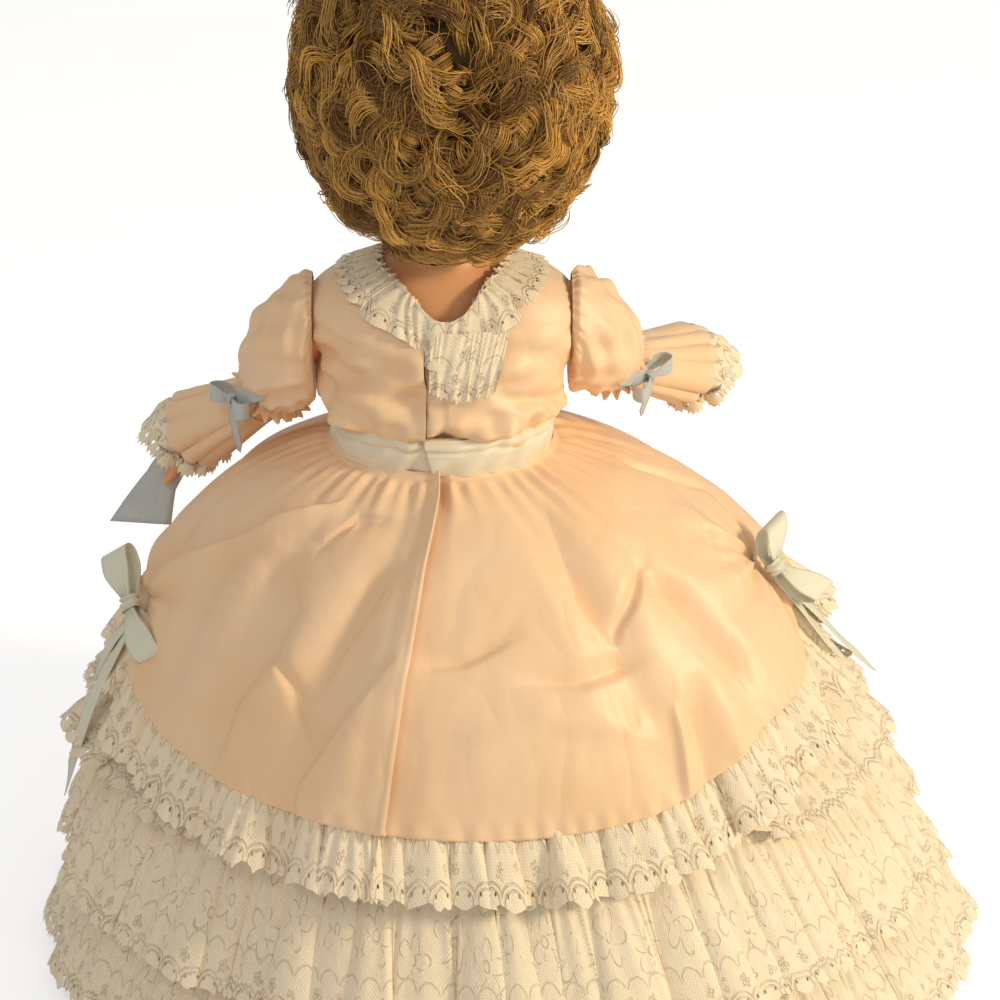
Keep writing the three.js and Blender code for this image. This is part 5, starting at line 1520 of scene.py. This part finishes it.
def stray_strands(rng):
    """Single loose strands in wide arcs over the curls."""
    count, steps = 1000, 18
    root = unit(rng.normal(size=(count, 3)))
    radius = rng.uniform(4, 11, count)[:, None]
    sweep = rng.uniform(1.5, 4.0, count)
    side = unit(np.cross(root, rng.normal(size=(count, 3))))
    other = np.cross(root, side)
    level = rng.uniform(0.93, 1.0, count)
    lines = np.empty((count, steps, 3))
    for k in range(steps):
        share = k / (steps - 1)
        turn = (sweep * (share - 0.5))[:, None]
        at = unit(root + turned(turn, side, other) * radius / HAIR_REACH)
        lines[:, k] = on_head(at, level - 0.1 * (2 * share - 1) ** 4)
    return lines, rng.uniform(0.4, 0.95, count)


def hair():
    """Short rooted hair: tufts that circle a whorl, ringlets lower down and loose strands."""
    rng = np.random.default_rng(17)
    for name, thickness, make in (
        ("tufts", 0.2, tufts),
        ("ringlets", 0.2, ringlets),
        ("strays", 0.13, stray_strands),
    ):
        lines, tones = trimmed(*make(rng))
        count, steps = lines.shape[:2]
        share = np.linspace(0, 1, steps)[None, :]
        radii = thickness * (1 - 0.5 * share**2) * rng.uniform(0.75, 1.25, (count, 1))
        tones = np.clip(tones + 0.12 * rng.normal(size=count), 0.02, 0.98)
        pieces = math.ceil(count * (steps - 1) * 3 / MOST_FACES)
        for first in range(pieces):
            pick = slice(first, None, pieces)
            mesh = strands(lines[pick], radii[pick], tones[pick], f"{name}_{first + 1}")
            show(mesh, HAIR_FIBRE, "head", ["hair"])
    undercoat()


def trimmed(lines, tones):
    """The strands that start clear of the face and the neck, each cut where it would reach them."""
    steps = lines.shape[1]
    nape = (np.abs(lines[..., 0]) < 22) & (lines[..., 1] > 16)
    bad = in_face(lines) | (lines[..., 2] < np.where(nape, NAPE_HAIR_END_Z, HAIR_END_Z))
    keep = (bad.sum(axis=1) < 0.3 * steps) & ~bad[:, 0]
    lines, tones, bad = lines[keep], tones[keep], bad[keep]
    ends = np.where(bad.any(axis=1), np.argmax(bad, axis=1) - 1, steps - 1)
    last = np.minimum(np.arange(steps)[None, :], ends[:, None])
    return np.take_along_axis(lines, last[..., None], axis=1), tones


def undercoat():
    """The dense rooted hair under the curls, coloured in painted shade."""
    columns, rows = 160, 90
    ball = on_ball(full_turn(columns), np.linspace(0.01, 2.62, rows)[None, :])
    rough = 0.86 + 0.012 * Waves(8, 0.3, 0.3, 0.3, count=9)(*xyz(ball))
    points = (HAIR_CENTRE + ball * HAIR_RADII * rough[..., None]).reshape(-1, 3)
    faces = grid_faces(columns, rows, True)
    middle = points[faces].mean(axis=1)
    faces = faces[~in_face(middle) & (middle[:, 2] > UNDERCOAT_END_Z)]
    return show(mesh_from("hair_undercoat", points, faces), UNDERCOAT_PAINTED_SHADE, "head")


# Torso, legs and underclothes

TORSO_ROWS = [
    (152, 28.5, 16.5),
    (165, 31, 22),
    (178, 29.5, 21.5),
    (187, 27, 20.5),
    (SHOULDER_Z - 22, 28, 20.5),
    (SHOULDER_Z - 8, 31, 21),
    (SHOULDER_Z + 2, 32.8, 19.5),
    (NECK_Z - 8, 28, 16),
    (NECK_Z - 2, 15, 13.4),
    (NECK_Z, NECK_R, NECK_R),
]


def torso():
    rows = spline(TORSO_ROWS, np.linspace(0, 1, 90))
    turn = full_turn(120)
    grid = point(rows[:, 1] * np.cos(turn), rows[:, 2] * np.sin(turn), rows[:, 0])
    return show_grid("torso_skin", grid, VINYL, "torso", closed=True)


LEG_ROWS = [(142, 13.8), (118, 12.8), (84, 10), (60, 10.4), (34, 7.6), (14, 6.8)]
LEG_HEIGHTS = spline(LEG_ROWS, np.linspace(0, 1, 200))
FOOT_Z = 3.2  # where the foot is flat underneath, as it stands in the shoe


def leg_size(z):
    return np.interp(-np.asarray(z, float), -LEG_HEIGHTS[:, 0], LEG_HEIGHTS[:, 1])


def leg_x(z):
    return 16.5 - 1.4 * (1 - z / HIP_Z)


def leg(side):
    sign = SIDES[side]
    z = np.linspace(143, 13, 60)
    drum = point(np.linspace(16.2, 29, 8), 0, HIP_Z)
    shapes = [
        capped(tube_grid(point(leg_x(z), 0, z), leg_size(z), 48)),
        capped(tube_grid(drum, (15.3, 15.3, 15.2, 15, 14.4, 13.4, 12, 10), 48)),
        ball_shape((leg_x(0), -7.5, 7.8), (7, 17.5, 9), 48, 30),
        ball_shape((leg_x(0), 2, 10.8), (6.8, 8.2, 12), 40, 30),
    ]
    for k, (points, faces) in enumerate(shapes):
        points[:, 2] = np.maximum(points[:, 2], FOOT_Z)
        shapes[k] = (points * [sign, 1, 1], faces[:, ::sign])
    skin = melted(f"leg_skin_{side}", shapes, voxel=0.9, rounds=3)
    return show(skin, VINYL, f"leg_{side}", [f"leg_{side}"])


def leg_tube(name, side, node, top, bottom, gap, stretch, ruffle):
    """A tube of cloth round a leg. stretch(v) is how much further it stands off in front and behind."""
    sign = SIDES[side]
    u, v = sheet_shares(150, 60, closed=True)
    z = lerp(top, bottom, v)
    turn = 2 * np.pi * u
    wave = ruffle * (smooth(v, 0.6, 1) + 0.25) * np.cos(12 * turn + np.sin(3 * turn))
    radius = leg_size(z) + gap + wave
    points = point(sign * (leg_x(z) + radius * np.cos(turn)), (radius + stretch(v)) * np.sin(turn), z)
    mesh = grid_mesh(f"{name}_{side}", points[::sign], closed=True)
    return show(mesh, COTTON, f"leg_{side}", [f"{node}_{side}"])


def pantalet(side):
    fuller = lambda v: 1 + 3 * v
    return leg_tube("pantalet_cloth", side, "pantalet", 128, 44, gap=1.6, stretch=fuller, ruffle=0.9)


def sock(side):
    even = lambda v: 0.2 + 0 * v
    return leg_tube("sock_cloth", side, "sock", 40, 21.4, gap=1.0, stretch=even, ruffle=0.15)


def waist_band(name, material, node, height, sizes, ripple, rows):
    """A band of cloth round the waist. sizes and ripple are functions of how far down it a place is."""
    u, v = sheet_shares(160, rows, closed=True)
    turn = 2 * np.pi * u
    z = lerp(*height, v)
    a, b = sizes(v, z)
    gathers = ripple * np.cos(40 * turn) * (1 - v)
    points = point((a + gathers) * np.cos(turn), (b + gathers) * np.sin(turn), z)
    return show_grid(name, points, material, node, closed=True)


def pantalet_yoke():
    rows = spline(TORSO_ROWS, np.linspace(0, 1, 400))
    sizes = lambda v, z: [np.interp(z, rows[:, 0], rows[:, k]) + 1.2 for k in (1, 2)]
    height = (176.8, 167.5)
    return waist_band("pantalet_yoke_cloth", COTTON, "pantalet_yoke", height, sizes, ripple=0.25, rows=12)


def waistband():
    sizes = lambda v, z: [size + 0.4 * np.sin(np.pi * v) for size in (33.4, 25.4)]
    return waist_band("waistband_cloth", TAFFETA, "waistband", (184, 177.6), sizes, ripple=0, rows=10)


# The doll

finish_solids()
torso()
head()
for side in SIDES:
    eye(side)
    arm(side)
    leg(side)
hair()

cut_sheet(overskirt())
cut_sheet(overskirt_trim())
underskirt = plain_skirt("underskirt_cloth", TAFFETA, "underskirt", out=0, hem_z=3, ripple=0.3, seed=16)
cut_sheet(underskirt)
petticoat = plain_skirt("petticoat_net", NET, "petticoat", out=-2.8, hem_z=7, ripple=0.6, seed=13)
cut_sheet(petticoat)
# Each tier's top and bottom height, the angles of its ends, how far it springs out and its seed
FLOUNCES = {
    "flounce_top": (126, 100, 144, 396, 6, 81),
    "flounce_upper": (106, 75, 118, 422, 8, 82),
    "flounce_middle": (82, 34, 0, 360, 2, 83),
    "flounce_lower": (39, 3, 0, 360, 0, 84),
}
for name, shape in FLOUNCES.items():
    cut_sheet(flounce(name, *shape))
cut_sheet(waistband())
cut_sheet(bodice())
cut_sheet(collar())
cut_sheet(placket_lace())
cut_sheet(sash())
# Each tail's swing in degrees, its length, how far it lifts off the skirt and its width
LEFT_TAILS = [(6, 56, 9, 7), (-5, 30, 6, 6)]
RIGHT_TAILS = [(5, 44, 9, 8), (-4, 30, 6, 7)]
skirt_bow("left", LEFT_BOW, roll=158, tails=LEFT_TAILS, droop=(2, 5), lengths=(1.15, 1.35))
skirt_bow("right", RIGHT_BOW, roll=-100, tails=RIGHT_TAILS, droop=(-7, -6), lengths=(1.1, 0.8))
for side in SIDES:
    cut_sheet(sleeve(side))
    cut_sheet(sleeve_flounce(side))
    cut_sheet(cuff_lace(side))
    sleeve_bow(side)
    cut_sheet(pantalet(side))
    cut_sheet(sock(side))
cut_sheet(pantalet_yoke())


# Camera, light and floor


def aim(thing, place, way):
    """Puts a camera or a lamp at a place, looking along a way."""
    thing.location = place
    thing.rotation_mode = "QUATERNION"
    thing.rotation_quaternion = way.to_track_quat("-Z", "Y")


CAMERA_TILT = 27
CAMERA_AWAY = 0.9  # in metres
CAMERA_TARGET = Vector((BODY_X, 0, 190)) * MM
LAMP_TARGET = Vector((BODY_X, 0, 170)) * MM


def camera():
    tilt = math.radians(CAMERA_TILT)
    back = Vector((0, math.cos(tilt), math.sin(tilt)))
    data = bpy.data.cameras.new("camera")
    data.lens = 105.3
    data.sensor_width = 36
    data.shift_x = 0.058
    data.shift_y = -0.084
    taken_from = linked(data)
    aim(taken_from, CAMERA_TARGET + back * CAMERA_AWAY, -back)
    bpy.context.scene.camera = taken_from


def lamp(name, place, size, power, tint):
    data = bpy.data.lights.new(name, "AREA")
    data.size = size
    data.energy = power
    data.color = tint
    aim(linked(data), place, LAMP_TARGET - Vector(place))


def surroundings():
    """Soft light from all round, which the camera sees as plain white."""
    world = bpy.data.worlds.new("studio")
    bpy.context.scene.world = world
    world.use_nodes = True
    tree = world.node_tree
    soft = tree.nodes["Background"]
    feed(tree, soft.inputs[0], (1, 0.99, 0.98, 1))
    feed(tree, soft.inputs[1], 0.46)
    white = add_node(tree, "ShaderNodeBackground", {0: (1, 1, 1, 1), 1: 1})
    seen = add_node(tree, "ShaderNodeLightPath").outputs["Is Camera Ray"]
    choice = add_node(tree, "ShaderNodeMixShader", {0: seen, 1: soft.outputs[0], 2: white.outputs[0]})
    feed(tree, tree.nodes["World Output"].inputs[0], choice.outputs[0])


FLOOR_Z = -0.0004  # in metres, just clear of the soles


def floor():
    """A pale floor, which the camera sees a little brighter than it is lit."""
    material = bpy.data.materials.new("floor")
    material.use_nodes = True
    tree = material.node_tree
    seen = add_node(tree, "ShaderNodeLightPath").outputs["Is Camera Ray"]
    glow = add_node(tree, "ShaderNodeMath", {0: seen, 1: 0.5}, operation="MULTIPLY").outputs[0]
    looks = {"Base Color": (0.86, 0.86, 0.86, 1), "Roughness": 0.9}
    looks.update({"Emission Color": (1, 1, 1, 1), "Emission Strength": glow})
    for name, value in looks.items():
        feed(tree, tree.nodes["Principled BSDF"].inputs[name], value)
    corners = [(x, y, FLOOR_Z) for x, y in ((-6, -6), (6, -6), (6, 6), (-6, 6))]
    mesh = bpy.data.meshes.new("floor")
    mesh.from_pydata(corners, [], [(0, 1, 2, 3)])
    mesh.materials.append(material)
    linked(mesh)


camera()
lamp("key", (-1.12, 0.45, 0.72), size=0.22, power=11, tint=(1, 0.88, 0.64))
lamp("window", (0.5, 0.9, 1.4), size=0.4, power=2.5, tint=(0.97, 0.98, 1))
surroundings()
floor()
bpy.context.scene.view_settings.view_transform = "Standard"
